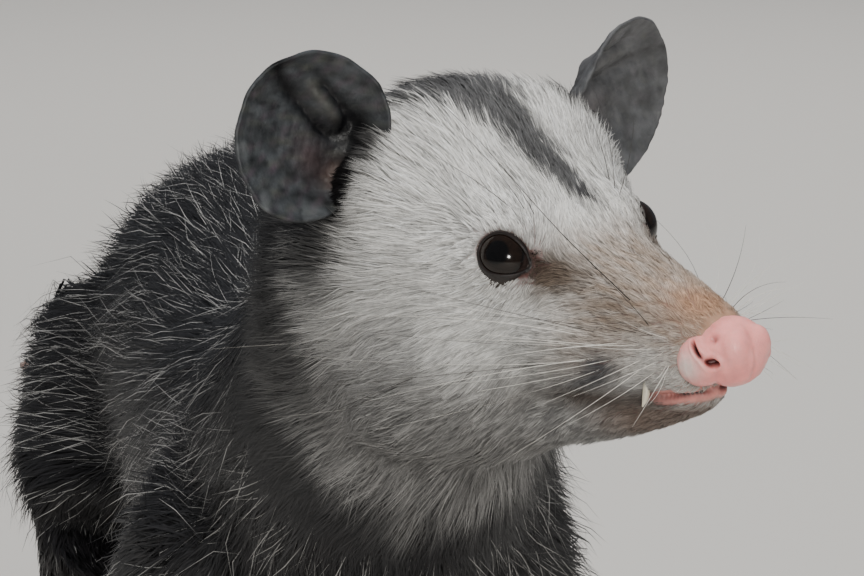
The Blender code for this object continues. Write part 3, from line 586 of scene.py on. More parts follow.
def normals_of(made):
    """The normal at each of a mesh's points."""
    found = np.empty(len(made.data.vertices) * 3, np.float32)
    made.data.vertex_normals.foreach_get("vector", found)
    return found.reshape(-1, 3).astype(float)


def set_points(made, points):
    """Moves a mesh's points to these places in millimetres."""
    made.data.vertices.foreach_set("co", (points * 0.001).astype(np.float32).ravel())
    made.data.update()


def triangles_of(made):
    """A mesh's triangles as rows of three point numbers."""
    made.data.calc_loop_triangles()
    found = np.empty(len(made.data.loop_triangles) * 3, np.int32)
    made.data.loop_triangles.foreach_get("vertices", found)
    return found.reshape(-1, 3)


def finer(made, wanted):
    """Halves the edges wherever wanted() is true for both ends."""
    chosen = wanted(points_of(made))
    work = bmesh.new()
    work.from_mesh(made.data)
    edges = [edge for edge in work.edges if chosen[edge.verts[0].index] and chosen[edge.verts[1].index]]
    bmesh.ops.subdivide_edges(work, edges=edges, cuts=1, use_grid_fill=True)
    work.to_mesh(made.data)
    work.free()


def smoothed(made, rounds):
    """Evens out a mesh a little."""
    soften = made.modifiers.new("Soften", "SMOOTH")
    soften.factor = 0.5
    soften.iterations = rounds
    apply_modifiers(made)


def bare_or_front(points):
    """Where the skin needs finer faces: the front of the head, the feet and the tail."""
    return (in_head(points)[:, 0] > -66) | (points[:, 2] < 19) | (ahead_of(points, TAIL_PLANE) < -10)


def at_openings(points):
    """Where the skin needs the finest faces: the lips and the edges of the eyes' openings."""
    eyes = np.zeros(len(points), bool)
    for side in (1, -1):
        local, reach = opening(side, points)
        eyes |= (reach < 1.7) & (np.linalg.norm(local, axis=1) < 14)
    return eyes | (mouth_distance(points) < 3.5)


def tail_place(points):
    """Distance along the tail and angle round it, for points of the tail."""
    path = smooth_path([row[:3] for row in TAIL], 10)
    steps = np.linalg.norm(np.diff(path, axis=0), axis=1)
    reached = np.concatenate([[0], np.cumsum(steps)])
    squares = ((points[:, None, :] - path[None]) ** 2).sum(axis=2)
    nearest = squares.argmin(axis=1)
    ways = unit(np.gradient(path, axis=0))[nearest]
    offset = points - path[nearest]
    along = reached[nearest] + (offset * ways).sum(axis=1)
    side = unit(np.cross((0, 0, 1), ways))
    up = np.cross(ways, side)
    return along, np.arctan2((offset * up).sum(axis=1), (offset * side).sum(axis=1)), ways


def scales(along, angle):
    """Height of the tail's scales, from 0 in the grooves to 1: staggered rings of small plates."""
    ring = along / 1.9
    row = np.floor(ring)
    groove = np.abs(ring - row - 0.5) * 2
    plates = 18
    turn = angle / (2 * math.pi) * plates + 0.5 * (row % 2)
    seam = np.abs(turn - np.floor(turn) - 0.5) * 2
    return (1 - groove ** 4) * (1 - 0.6 * seam ** 6)


def shaped_skin():
    """The skin: the form set in by the coat's depth, with eye sockets, lips, toes and tail scales."""
    pieces = [tube(TRUNK, sides=28), tube(TAIL, sides=14), *head_pieces(), *legs_and_feet()]
    made = blocked_out("skin", pieces, VOXEL, 70)
    finer(made, bare_or_front)
    finer(made, at_openings)
    smoothed(made, 2)
    points, normals = points_of(made), normals_of(made)
    points = points - normals * skin_depth(points)[:, None]
    away = mouth_distance(points)
    points -= normals * (1.5 * peak(away, 0.55))[:, None]
    lip = peak(away - 1.7, 1.0) * stepped(in_head(points)[:, 0], -44, -30)
    points += normals * (0.45 * lip)[:, None]
    for side in (1, -1):
        points = with_socket(points, side)
    tail = ahead_of(points, TAIL_PLANE) < -14
    along, angle, _ = tail_place(points[tail])
    fade = stepped(along, 30, 60) * (1 - stepped(along, 330, 352))
    points[tail] += normals[tail] * (0.16 * fade * (scales(along, angle) - 1))[:, None]
    points[:, 2] = np.maximum(points[:, 2], 0)
    set_points(made, points)
    return made


def with_socket(points, side):
    """Points pushed in behind one eyeball and kept clear of its lids."""
    centre, axes = eye_axes(side)
    local, reach = opening(side, points)
    near = (np.linalg.norm(local, axis=1) < 14) & (local[:, 2] > -2)
    inside = near & (reach < 1.06)
    ways = unit(local)
    local[inside] = ways[inside] * 5.1
    around = near & ~inside
    size = np.hypot(local[:, 0], local[:, 1]) / np.maximum(reach, 0.1)
    edge = np.sqrt(np.maximum((EYE_RADIUS + 0.1) ** 2 - size ** 2, 2.0))
    lifted = np.minimum(local[:, 2], edge + 0.45 - 1.3 * (reach - 1))
    share = 1 - stepped(reach, 1.3, 2.2)
    local[:, 2] = np.where(around, local[:, 2] + (lifted - local[:, 2]) * share, local[:, 2])
    moved = points.copy()
    moved[near] = local[near] @ axes + centre
    return moved


def crown_stripe(head, fine):
    """How dark the grizzled crown is: broad between the ears, narrowing to a point above the eyes."""
    x, y, z = head.T
    middle = np.interp(x, (-92, -84, -76, -71, -66, -50), (0.0, 0.5, 0.5, 0.2, 1.6, 4.4))
    places = (-100, -92, -86, -80, -74, -68, -62, -54, -46)
    wide = np.interp(x, places, (21, 19.5, 18, 13, 8.2, 7.2, 5.6, 3.4, 1.8))
    share = np.exp(-(((y - middle) / wide) ** 2) * 1.2) * stepped(z, 8, 18) * stepped(-x, 46, 56)
    streaked = stepped(share + 0.30 * fine, 0.25, 0.75)
    return np.maximum(streaked * np.interp(x, (-86, -60), (0.93, 0.92)), 0)


def snout_colours(head, tips):
    """The coat's colours with the brown of muzzle and bridge, and painted shade under the whisker rows."""
    x, y, z = head.T
    streaks = waves(head * (0.35, 1, 1), 1.9, 12)
    muzzle = stepped(x, -50, -26) * stepped(z + 0.35 * np.abs(y), -6, 4)
    tips = mixed(tips, TAUPE * 1.25, (0.76 + 0.18 * streaks) * muzzle)
    bridge = both_sides(head, (-36, 6, 16), (12, 7, 6))
    tips = mixed(tips, TAUPE * 1.25, (0.60 + 0.2 * streaks) * bridge)
    front = both_sides(head, (-40.0, 13.0, 12.5), (7.0, 4.5, 5.0))
    front = front + both_sides(head, (-46.5, 15.0, 12.0), (5, 5, 5))
    tips = mixed(tips, TAUPE * 0.42, (0.88 + 0.16 * streaks) * front)
    side = both_sides(head, (-29, 12.5, 6.5), (9, 6, 5))
    tips = mixed(tips, TAUPE * 0.78, (0.66 + 0.25 * streaks) * side)
    stain = blob(head, (-11.5, -1.5, 8.0), (7, 8, 6)) + 0.5 * blob(head, (-16, -3, 9.5), (8, 8, 5))
    tips = mixed(tips, STAIN, 0.85 * stain)
    pad = both_sides(head, (-21.0, 11.0, -2.5), (7, 6, 4.5))
    tips = mixed(tips, WHITE * 0.9, 0.62 * pad)
    # Painted shade under the whisker rows, darkest near the mouth's corner: the dark patch here is shade.
    patch = both_sides(head, (-30.0, 15.2, -4.5), (4.6, 5, 4.4))
    patch = patch + 0.8 * both_sides(head, (-35, 15.0, -9.0), (8, 5, 3.4))
    tips = mixed(tips, DARK * 3.2, (0.90 + 0.2 * streaks) * patch)
    lip = blob(head, (-14, 0, -8.5), (9, 9, 3.0))
    return mixed(tips, TAUPE * 0.8, 0.9 * lip)


def fur_colours(points):
    """Colours of the coat's tips and of its roots at points, with painted shade between tufts, on the cheeks,
    under the head, on the chin and along the mouth.
    """
    head = in_head(points)
    x, y, z = head.T
    fine = waves(points, 2.4, 6)
    tips = np.tile(WHITE, (len(points), 1))
    # Grey streaks along the lie: random tone, and painted shade in the gaps between tufts.
    streaks = waves(head * (0.3, 1, 1), 1.9, 14)
    tips = mixed(tips, GREY * 1.2, 0.12 + 0.10 * waves(points, 14, 3) + 0.24 * streaks)
    # Painted shade: grey on the white cheeks, where the side of the head turns away from the light above.
    cheek = both_sides(head, (-78, 36, -4), (15, 11, 15))
    tips = mixed(tips, GREY * 1.1, (0.66 + 0.25 * streaks) * cheek)
    # Under the head, jaw and throat: partly their greyer fur, partly painted shade below the head.
    low = stepped(-z, -7, 21) * stepped(-x, 20, 40)
    tips = mixed(tips, GREY * 0.55, (0.86 + 0.20 * streaks) * low)
    # Chin: its own taupe-brown, darkened further with painted shade below the nose.
    chin = stepped(-z, 10.5, 15) * stepped(x, -44, -28)
    tips = mixed(tips, BROWN * 1.8, 0.90 * chin)

    spot = blob(head, (-51.5, 5.0, 24.6), (2.2, 3.2, 4)) * 0.6
    tips = mixed(tips, DARK * 2.2, crown_stripe(head, fine) + spot)
    tips = snout_colours(head, tips)
    for side in (1, -1):
        local, reach = opening(side, points)
        wider = stepped(-local[:, 1] + 0.5 * local[:, 0], -3, 3)
        ring = 1 - stepped(reach, 1.04, 1.18 + 0.36 * wider)
        front = blob(local, (8.0, -0.7, 1.5), (3.6, 2.3, 4))
        below = blob(local, (2.5, -6.4, 2.0), (6.5, 2.0, 4)) * 0.30
        tips = mixed(tips, BROWN * 0.7, 1.2 * ring + 0.9 * front + below)

    behind = both_sides(head, (-93, 37, 18), (7, 8, 11)) + both_sides(head, (-89, 33.5, 29), (6.5, 6, 8))
    above = both_sides(head, (-85, 27.5, 35.5), (4.4, 4.2, 4.6))
    behind += above + both_sides(head, (-92.5, 27, 38.5), (5.5, 5.5, 5))
    tips = mixed(tips, BLACK, 1.7 * behind)
    # Painted shade along the mouth: a dark band in the coat beside the lip line.
    line = peak(mouth_distance(points), 2.7) * stepped(-x, 15, 22)
    line = line * (1 - 0.7 * stepped(-x, 38, 50))
    tips = mixed(tips, BROWN * 0.6, line)

    body = stepped(-ahead_of(points, NECK_PLANE) + 5 * waves(points, 18, 5), -9, 6)
    nape = stepped(-x + 3.5 * waves(points, 9, 7) + 2.5 * fine, 88, 104) * stepped(z, -32, -8)
    body = np.maximum(body, nape)
    tips = mixed(tips, DARK, body)
    roots = mixed(tips * 0.50, BLACK, 0.7 * body)
    leg = leg_share(points) * body
    tips = mixed(tips, BLACK * 1.3, leg)
    at_floor = 1 - stepped(points[:, 2], 5, 13)
    tips = mixed(tips, FOOT * 0.5, at_floor * body)
    return tips, roots


def skin_colours(points):
    """Colours of the skin: close to the coat's roots and their painted shade, pink on lips and toes, dark to
    pale along the tail, with painted shade in the mouth's crease and between the tail's scales.
    """
    head = in_head(points)
    x, y, z = head.T
    _, roots = fur_colours(points)
    colours = mixed(roots, PINK * 0.6, 0.13 * stepped(x, -80, -40))
    colours = mixed(colours, STAIN * 0.8, 0.7 * stepped(x, -17, -9))
    for side in (1, -1):
        colours = mixed(colours, BROWN * 0.25, 1 - stepped(opening(side, points)[1], 1.04, 1.16))
    away = mouth_distance(points)
    lips = peak(away, 2.6) * stepped(x, -26, -17)
    colours = mixed(colours, LIP, 1.3 * lips)
    # Painted shade in the mouth's crease: a dark line along the lip line.
    colours = mixed(colours, BLACK * 1.5, peak(away, 0.75) * 1.2)
    foot = 1 - stepped(points[:, 2], 9, 15)
    foot = foot * (ahead_of(points, TAIL_PLANE) > -4)
    toe_tip = stepped(-points[:, 2], -9, -3)
    tone = mixed(np.tile(FOOT * 0.62, (len(points), 1)), FOOT, toe_tip)
    colours = mixed(colours, tone * 0.9, foot)
    tail = ahead_of(points, TAIL_PLANE) < -2
    along, angle, _ = tail_place(points[tail])
    paling = stepped(along + 9 * waves(points[tail], 25, 8), 105, 175)
    bare = mixed(np.tile(BLACK * 2, (len(along), 1)), SCALE, paling)
    # Painted shade in the grooves between the tail's scales.
    bare = mixed(bare, bare * 0.45, (1 - scales(along, angle)) * stepped(along, 30, 60))
    share = stepped(along, 20, 44)[:, None]
    colours[tail] = colours[tail] * (1 - share) + bare * share
    return colours


def surface_from(made):
    """What the coat needs to know of the skin."""
    points, triangles = points_of(made), triangles_of(made)
    tree = BVHTree.FromPolygons(points.tolist(), triangles.tolist())
    return Skin(points, normals_of(made), triangles, tree)


def scattered(skin, density, draw):
    """Random places over the skin and the normals there, as many to a square millimetre as density() says."""
    corners = skin.points[skin.triangles]
    crossed = np.cross(corners[:, 1] - corners[:, 0], corners[:, 2] - corners[:, 0])
    area = 0.5 * np.linalg.norm(crossed, axis=1)
    expected = area * density(corners.mean(axis=1))
    chosen = np.repeat(np.arange(len(area)), np.floor(expected + draw.random(len(area))).astype(int))
    a, b = draw.random((2, len(chosen)))
    a, b = np.where(a + b > 1, 1 - a, a), np.where(a + b > 1, 1 - b, b)
    shares = np.stack([1 - a - b, a, b], axis=1)[:, :, None]
    places = (corners[chosen] * shares).sum(axis=1)
    normals = unit((skin.normals[skin.triangles[chosen]] * shares).sum(axis=1))
    order = draw.permutation(len(chosen))
    return places[order], normals[order]


TRUNK_PATH = smooth_path([row[:3] for row in TRUNK], 6)
TRUNK_WAYS = -unit(np.gradient(TRUNK_PATH, axis=0))
# Points handled at a time, to save memory
BATCH = 50000


def nearest_on_trunk(points):
    """The number of the nearest point on the trunk's path."""
    found = np.empty(len(points), int)
    for start in range(0, len(points), BATCH):
        part = points[start:start + BATCH]
        squares = ((part[:, None, :] - TRUNK_PATH[None]) ** 2).sum(axis=2)
        found[start:start + BATCH] = squares.argmin(axis=1)
    return found


def coat_lie(points, normals):
    """The way the coat lies at points, along the skin."""
    head = in_head(points)
    x, y, z = head.T
    down = np.interp(z, (-20, 0, 16, 30), (-0.55, -0.36, -0.04, 0.10)) * stepped(-x, 12, 60)
    lie = np.stack([-np.ones(len(points)), 0.20 * y / 30, down], axis=1)
    lie = lie @ HEAD_TURN.T
    for side in (1, -1):
        centre, _ = eye_axes(side)
        away = points - centre
        near = peak(np.linalg.norm(away, axis=1), 11)
        lie += unit(away) * (1.5 * near)[:, None]
    nearest = nearest_on_trunk(points)
    ways = TRUNK_WAYS[nearest]
    offset = points - TRUNK_PATH[nearest]
    aside = np.abs(offset[:, 1]) / np.maximum(np.linalg.norm(offset, axis=1), 1)
    body = ways + np.stack([0 * aside, 0 * aside, -0.4 * aside], axis=1)
    leg = leg_share(points)[:, None]
    body = body * (1 - leg) + np.array((-0.35, 0, -1.0)) * leg
    tail = ahead_of(points, TAIL_PLANE) < 0
    if tail.any():
        body[tail] = tail_place(points[tail])[2]
    share = behind_head(points)[:, None]
    lie = unit(lie) * (1 - share) + unit(body) * share
    return unit(lie - normals * (lie * normals).sum(axis=1, keepdims=True))


def turned(lies, normals, angles):
    """Lies turned about the normals by angles."""
    return lies * np.cos(angles)[:, None] + np.cross(normals, lies) * np.sin(angles)[:, None]


def followed(skin, points):
    """The nearest places on the skin, and the normals of its faces there."""
    nearest = skin.tree.find_nearest
    found = [nearest(point) for point in points.tolist()]
    places = np.array([entry[0][:] for entry in found])
    normals = np.array([entry[1][:] for entry in found])
    return places, normals


Strands = namedtuple("Strands", "lines normals lies")


def laid(skin, roots, normals, lies, lengths, rises, stations, droop):
    """Middle lines of strands that leave the skin at their roots and then follow it."""
    foot, normal, lie = roots, normals, lies
    lines, ups, ways = [], [], []
    flat = np.sqrt(np.maximum(lengths ** 2 - rises ** 2, 0.2 * lengths ** 2))
    before = 0.0
    for station in stations:
        if station > 0:
            foot, face = followed(skin, foot + lie * (flat * (station - before))[:, None])
            normal = unit(normal + face)
            lie = unit(lie - normal * (lie * normal).sum(axis=1, keepdims=True))
        before = station
        height = rises * (1 - (1 - station) ** droop)
        lines.append(foot + normal * (height - 0.25 * (station == 0))[:, None])
        ups.append(normal)
        ways.append(lie)
    return Strands(np.stack(lines, axis=1), np.stack(ups, axis=1), np.stack(ways, axis=1))


def gathered(strands, roots, share, strength, draw, stations):
    """Strands with their ends drawn towards the nearest of some leading ones, so that they form tufts."""
    leaders = draw.choice(len(roots), max(1, int(len(roots) * share)), replace=False)
    tree = KDTree(len(leaders))
    for i, place in enumerate(roots[leaders].tolist()):
        tree.insert(place, i)
    tree.balance()
    nearest = np.array([tree.find(root)[1] for root in roots.tolist()])
    lead = leaders[nearest]
    pull = np.array(stations) ** 1.4
    target = strands.lines[lead]
    amount = (strength * draw.uniform(0.4, 1.1, len(roots)))[:, None, None] * pull[None, :, None]
    return strands._replace(lines=strands.lines + (target - strands.lines) * amount)


def placed(points):
    """Points of the animal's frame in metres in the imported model's frame."""
    return np.asarray(points) * 0.001 + SHIFT


def mesh_from(name, points, faces, colours=None, normals=None, uv=None):
    """An object from arrays: points, faces as arrays of three or four corners, and colours for its points."""
    mesh = bpy.data.meshes.new(name)
    corners = np.concatenate([part.ravel() for part in faces]).astype(np.int32)
    sizes = np.concatenate([np.full(len(part), part.shape[1]) for part in faces])
    starts = np.concatenate([[0], np.cumsum(sizes)[:-1]]).astype(np.int32)
    mesh.vertices.add(len(points))
    mesh.vertices.foreach_set("co", placed(points).astype(np.float32).ravel())
    mesh.loops.add(len(corners))
    mesh.loops.foreach_set("vertex_index", corners)
    mesh.polygons.add(len(sizes))
    mesh.polygons.foreach_set("loop_start", starts)
    mesh.update(calc_edges=True)
    mesh.shade_smooth()
    if colours is not None:
        set_colours(mesh, colours)
    if uv is not None:
        layer = mesh.uv_layers.new(name="OFBake")
        layer.uv.foreach_set("vector", uv[corners].astype(np.float32).ravel())
    if normals is not None:
        mesh.normals_split_custom_set_from_vertices(normals.astype(np.float32))
    return object_of(name, mesh, bpy.context.scene.collection)


def set_colours(mesh, colours):
    """Keeps a colour for each point of a mesh, as the attribute that the materials read."""
    rows = np.ones((len(colours), 4), np.float32)
    rows[:, :3] = colours
    attribute = mesh.color_attributes.new("Coat", "FLOAT_COLOR", "POINT")
    attribute.data.foreach_set("color", rows.ravel())


def strands_mesh(name, strands, widths, tips, roots, uv, draw, stations, pale=None, softened=0.7):
    """One mesh of thin flat strands that taper to a point, shaded with the skin's own normals."""
    lines, ups, ways = strands
    count, rows, _ = lines.shape
    roll = draw.uniform(-0.75, 0.75, count)[:, None, None]
    side = np.cross(ups, ways)
    side = side * np.cos(roll) + ups * np.sin(roll)
    profile = np.interp(stations, (0, 0.3, 0.7, 1.0), (0.75, 1.0, 0.72, 0.0))
    half = side * (widths[:, None, None] * profile[None, :, None] * 0.5)
    left, right = lines[:, :-1] - half[:, :-1], lines[:, :-1] + half[:, :-1]
    points = np.concatenate([left, right, lines[:, -1:]], axis=1)
    own = np.cross(ways, side)
    own = own * np.sign((own * ups).sum(axis=2, keepdims=True))
    shade = unit(ups * softened + own * (1 - softened))
    lean = np.cross(ups, ways) * 0.35
    lefts, rights = unit(shade[:, :-1] - lean[:, :-1]), unit(shade[:, :-1] + lean[:, :-1])
    shades = np.concatenate([lefts, rights, shade[:, -1:]], axis=1)
    share = np.interp(stations, (0, 0.25, 0.75, 1), (0, 0.35, 1, 1))[None, :, None]
    colour = roots[:, None] * (1 - share) + tips[:, None] * share
    if pale is not None:
        white = (stepped(np.array(stations), 0.45, 0.72)[None, :] * pale[:, None])[:, :, None]
        colour = colour * (1 - white) + WHITE * 0.48 * white
    colours = np.concatenate([colour[:, :-1], colour[:, :-1], colour[:, -1:]], axis=1)
    patch = np.stack([np.stack([np.full(rows, -0.35), np.array(stations) - 0.5], axis=1),
                      np.stack([np.full(rows, 0.35), np.array(stations) - 0.5], axis=1)])
    patch = np.concatenate([patch[0, :-1], patch[1, :-1], [[0, 0.5]]]) * PATCH
    uvs = uv[:, None] + patch[None]
    sides = rows - 1
    each = 2 * sides + 1
    quads = np.array([(i, i + 1, sides + i + 1, sides + i) for i in range(sides - 1)]).reshape(-1, 4)
    triangle = np.array([(sides - 1, 2 * sides, 2 * sides - 1)])
    starts = (np.arange(count) * each)[:, None, None]
    faces = [(starts + quads[None]).reshape(-1, 4), (starts + triangle[None]).reshape(-1, 3)]
    points, colours, shades = (rows.reshape(-1, 3) for rows in (points, colours, shades))
    return mesh_from(name, points, faces, colours, shades, uvs.reshape(-1, 2))


def unwrapped(angle, along):
    """Places on an unwrap, clear of its edges: an angle across it, and a share of the length up it."""
    return np.stack([0.01 + 0.98 * (angle / (2 * math.pi) + 0.5), np.clip(along, 0.01, 0.99)], axis=1)


def head_unwrap(roots):
    """Places on an unwrap of the head: angle round its length, and distance along it."""
    head = in_head(roots)
    angle = np.arctan2(head[:, 1], head[:, 2] - 4)
    return unwrapped(angle, (head[:, 0] + 125) / 128)


def trunk_unwrap(roots):
    """Places on an unwrap of the trunk: angle round its path, and distance along it."""
    nearest = nearest_on_trunk(roots)
    offset = roots - TRUNK_PATH[nearest]
    angle = np.arctan2(offset[:, 1], offset[:, 2])
    along = (nearest - (offset * TRUNK_WAYS[nearest]).sum(axis=1) / 6) / len(TRUNK_PATH)
    return unwrapped(angle, along)


def leg_unwrap(roots):
    """Places on an unwrap of the four legs, one to a quarter: angle round each, and height."""
    left = roots[:, 1] > 0
    front = roots[:, 0] > -90
    fore = np.where(left, FORE_STEP[1], FORE_STEP[-1])
    step = np.where(front, fore, np.where(left, HIND_STEP[1], HIND_STEP[-1]))
    middle = np.where(front, -2, -184) + step * (1 - roots[:, 2] / 90)
    angle = np.arctan2(np.abs(roots[:, 1]) - 40, roots[:, 0] - middle)
    across = 0.02 + 0.46 * (angle / (2 * math.pi) + 0.5) + 0.5 * left
    up = 0.02 + 0.46 * np.clip(roots[:, 2] / 90, 0, 1) + 0.5 * front
    return np.stack([across, up], axis=1)


def clear_of_eyes(strands):
    """Which strands don't cross the opening of an eye."""
    kept = np.ones(len(strands.lines), bool)
    for side in (1, -1):
        for station in range(1, strands.lines.shape[1]):
            local, reach = opening(side, strands.lines[:, station])
            kept &= ~((reach < 1.02) & (local[:, 2] > 0.5))
    return kept


def bare_places(points):
    """Where the coat grows: 0 inside the lids, on lips, nose, soles and tail, and 1 where it is full."""
    head = in_head(points)
    share = stepped(-head[:, 0], 8.0, 10.0) + stepped(-ahead_of(points, NECK_PLANE), 0, 1)
    share = np.minimum(share, 1)
    for side in (1, -1):
        share = share * stepped(opening(side, points)[1], 1.03, 1.10)
    away = mouth_distance(points)
    naked = 1.7 - 2.6 * stepped(-head[:, 0], 17, 34)
    share = share * stepped(away, naked, naked + 0.8)
    share = share * stepped(points[:, 2], 6, 9)
    tail = -ahead_of(points, TAIL_PLANE)
    return share * (1 - stepped(tail, 8, 40))


def coat(name, look, skin, area, unwrap, style, draw):
    """One kind of coat over part of the skin, as joined meshes of strands."""
    def density(points):
        return area(points) * bare_places(points) * style["density"]

    roots, normals = scattered(skin, density, draw)
    count = len(roots)
    lies = coat_lie(roots, normals)
    angles = style["swirl"] * waves(roots, style["swirl_length"], 21) + draw.normal(0, style["stray"], count)
    lies = turned(lies, normals, angles)
    lengths = style["length"](roots) * draw.uniform(0.72, 1.18, count)
    rises = style["rise"](roots, lengths) * draw.uniform(0.45, 1.2, count)
    stations = style["stations"]
    strands = laid(skin, roots, normals, lies, lengths, rises, stations, style["droop"])
    strands = gathered(strands, roots, style["tufts"], style["pull"], draw, stations)
    kept = clear_of_eyes(strands) if style["face"] else np.ones(count, bool)
    strands = Strands(*(part[kept] for part in strands))
    roots, normals = roots[kept], normals[kept]
    tips, _ = fur_colours(0.4 * roots + 0.6 * strands.lines[:, -1])
    _, bases = fur_colours(roots)
    shade = draw.normal(1.0, style["variety"], len(roots))[:, None].clip(0.5, 1.5)
    tips, bases = np.clip(tips * shade, 0, 0.95), np.clip(bases * shade, 0, 0.9)
    pale = (draw.random(len(roots)) < style["pale"](roots)) * 1.0
    widths = style["width"](roots) * draw.uniform(0.7, 1.25, len(roots))
    uv = unwrap(roots)
    triangles = 2 * (len(stations) - 2) + 1
    size = PIECE_TRIANGLES // triangles
    for number, start in enumerate(range(0, len(roots), size)):
        part = slice(start, start + size)
        piece = strands_mesh(
            f"{name}_{number + 1}", Strands(*(rows[part] for rows in strands)), widths[part], tips[part],
            bases[part], uv[part], draw, stations, pale[part],
        )
        finish(piece, look)
    return len(roots)


def finish(piece, look):
    """Gives a piece its material and slot, and sets it on the body."""
    piece.data.materials.clear()
    piece.data.materials.append(look)
    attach(piece, "root")


def blank_look(name):
    """A new material with its node tree, shader and a way to add nodes."""
    made = bpy.data.materials.new(name)
    made.use_nodes = True
    tree = made.node_tree
    return made, tree, tree.nodes["Principled BSDF"]


def settings(shader, **values):
    """Sets a shader's own sockets, named with _ for a space."""
    for name, value in values.items():
        shader.inputs[name.replace("_", " ")].default_value = value


def noise(tree, scale, detail=3.0, kind="ShaderNodeTexNoise"):
    """A noise in the object's own coordinates."""
    place = tree.nodes.new("ShaderNodeTexCoord")
    made = tree.nodes.new(kind)
    made.inputs["Scale"].default_value = scale
    if "Detail" in made.inputs:
        made.inputs["Detail"].default_value = detail
    tree.links.new(place.outputs["Object"], made.inputs["Vector"])
    return made.outputs[0]


def relief(tree, shader, height, strength, depth):
    """Adds a bump of this height pattern to a shader."""
    bump = tree.nodes.new("ShaderNodeBump")
    bump.inputs["Strength"].default_value = strength
    bump.inputs["Distance"].default_value = depth * 0.001
    tree.links.new(height, bump.inputs["Height"])
    tree.links.new(bump.outputs["Normal"], shader.inputs["Normal"])
    return bump


def ranged(tree, value, low, high):
    """A pattern's value brought into a range."""
    made = tree.nodes.new("ShaderNodeMapRange")
    made.inputs["From Min"].default_value = 0.3
    made.inputs["From Max"].default_value = 0.7
    made.inputs["To Min"].default_value = low
    made.inputs["To Max"].default_value = high
    tree.links.new(value, made.inputs["Value"])
    return made.outputs["Result"]


def tinted(tree, shader, pattern, low, high):
    """Base colour from the piece's own colours, made darker and lighter by a pattern."""
    colour = tree.nodes.new("ShaderNodeAttribute")
    colour.attribute_name = "Coat"
    scale = tree.nodes.new("ShaderNodeVectorMath")
    scale.operation = "SCALE"
    tree.links.new(colour.outputs["Color"], scale.inputs[0])
    tree.links.new(ranged(tree, pattern, low, high), scale.inputs["Scale"])
    tree.links.new(scale.outputs["Vector"], shader.inputs["Base Color"])


def fur_look(name, roughness, gloss):
    """Hair: the strands' own colours with a fine change of tone and of roughness."""
    made, tree, shader = blank_look(name)
    tinted(tree, shader, noise(tree, 900), 0.86, 1.12)
    rough = ranged(tree, noise(tree, 400), roughness - 0.08, roughness + 0.08)
    tree.links.new(rough, shader.inputs["Roughness"])
    settings(shader, Specular_IOR_Level=gloss)
    return made


def skin_look():
    """Skin: its own colours, pores and fine creases."""
    made, tree, shader = blank_look("skin")
    tinted(tree, shader, noise(tree, 500), 0.85, 1.15)
    tree.links.new(ranged(tree, noise(tree, 800), 0.42, 0.62), shader.inputs["Roughness"])
    relief(tree, shader, noise(tree, 1500, 5), 0.5, 0.15)
    settings(shader, Subsurface_Weight=0.12, Subsurface_Radius=(1.0, 0.35, 0.2), Subsurface_Scale=0.0015)
    return made


def nose_look():
    """The bare nose: moist pink skin with a fine pebbled relief."""
    made, tree, shader = blank_look("nose")
    tinted(tree, shader, noise(tree, 350), 0.9, 1.1)
    tree.links.new(ranged(tree, noise(tree, 600), 0.28, 0.46), shader.inputs["Roughness"])
    relief(tree, shader, noise(tree, 2600, 2, "ShaderNodeTexVoronoi"), 0.35, 0.12)
    settings(
        shader,
        Subsurface_Weight=0.35,
        Subsurface_Radius=(1.0, 0.30, 0.22),
        Subsurface_Scale=0.0022,
        Specular_IOR_Level=0.6,
        Coat_Weight=0.15,
        Coat_Roughness=0.25,
    )
    return made


def ear_look():
    """Bare leathery ear skin: its own colours, blotches and a fine grain."""
    made, tree, shader = blank_look("ear")
    tinted(tree, shader, noise(tree, 260, 6), 0.65, 1.4)
    tree.links.new(ranged(tree, noise(tree, 500), 0.36, 0.56), shader.inputs["Roughness"])
    relief(tree, shader, noise(tree, 1400, 6), 0.6, 0.25)
    settings(shader, Specular_IOR_Level=0.3)
    return made


def eye_look():
    """A dark, wet eye, with an iris only a little browner than its pupil."""
    made, tree, shader = blank_look("eye")
    tinted(tree, shader, noise(tree, 900), 0.7, 1.3)
    settings(shader, Roughness=0.12, Specular_IOR_Level=0.38)
    return made


def horn_look(name, roughness):
    """Horn, teeth and whiskers: their own colours with faint streaks."""
    made, tree, shader = blank_look(name)
    tinted(tree, shader, noise(tree, 700), 0.85, 1.1)
    rough = ranged(tree, noise(tree, 900), roughness - 0.07, roughness + 0.07)
    tree.links.new(rough, shader.inputs["Roughness"])
    return made


def floor_look():
    """A plain pale floor with a hardly visible unevenness."""
    made, tree, shader = blank_look("floor")
    settings(shader, Base_Color=(0.62, 0.60, 0.57, 1))
    tree.links.new(ranged(tree, noise(tree, 3), 0.75, 0.9), shader.inputs["Roughness"])
    return made


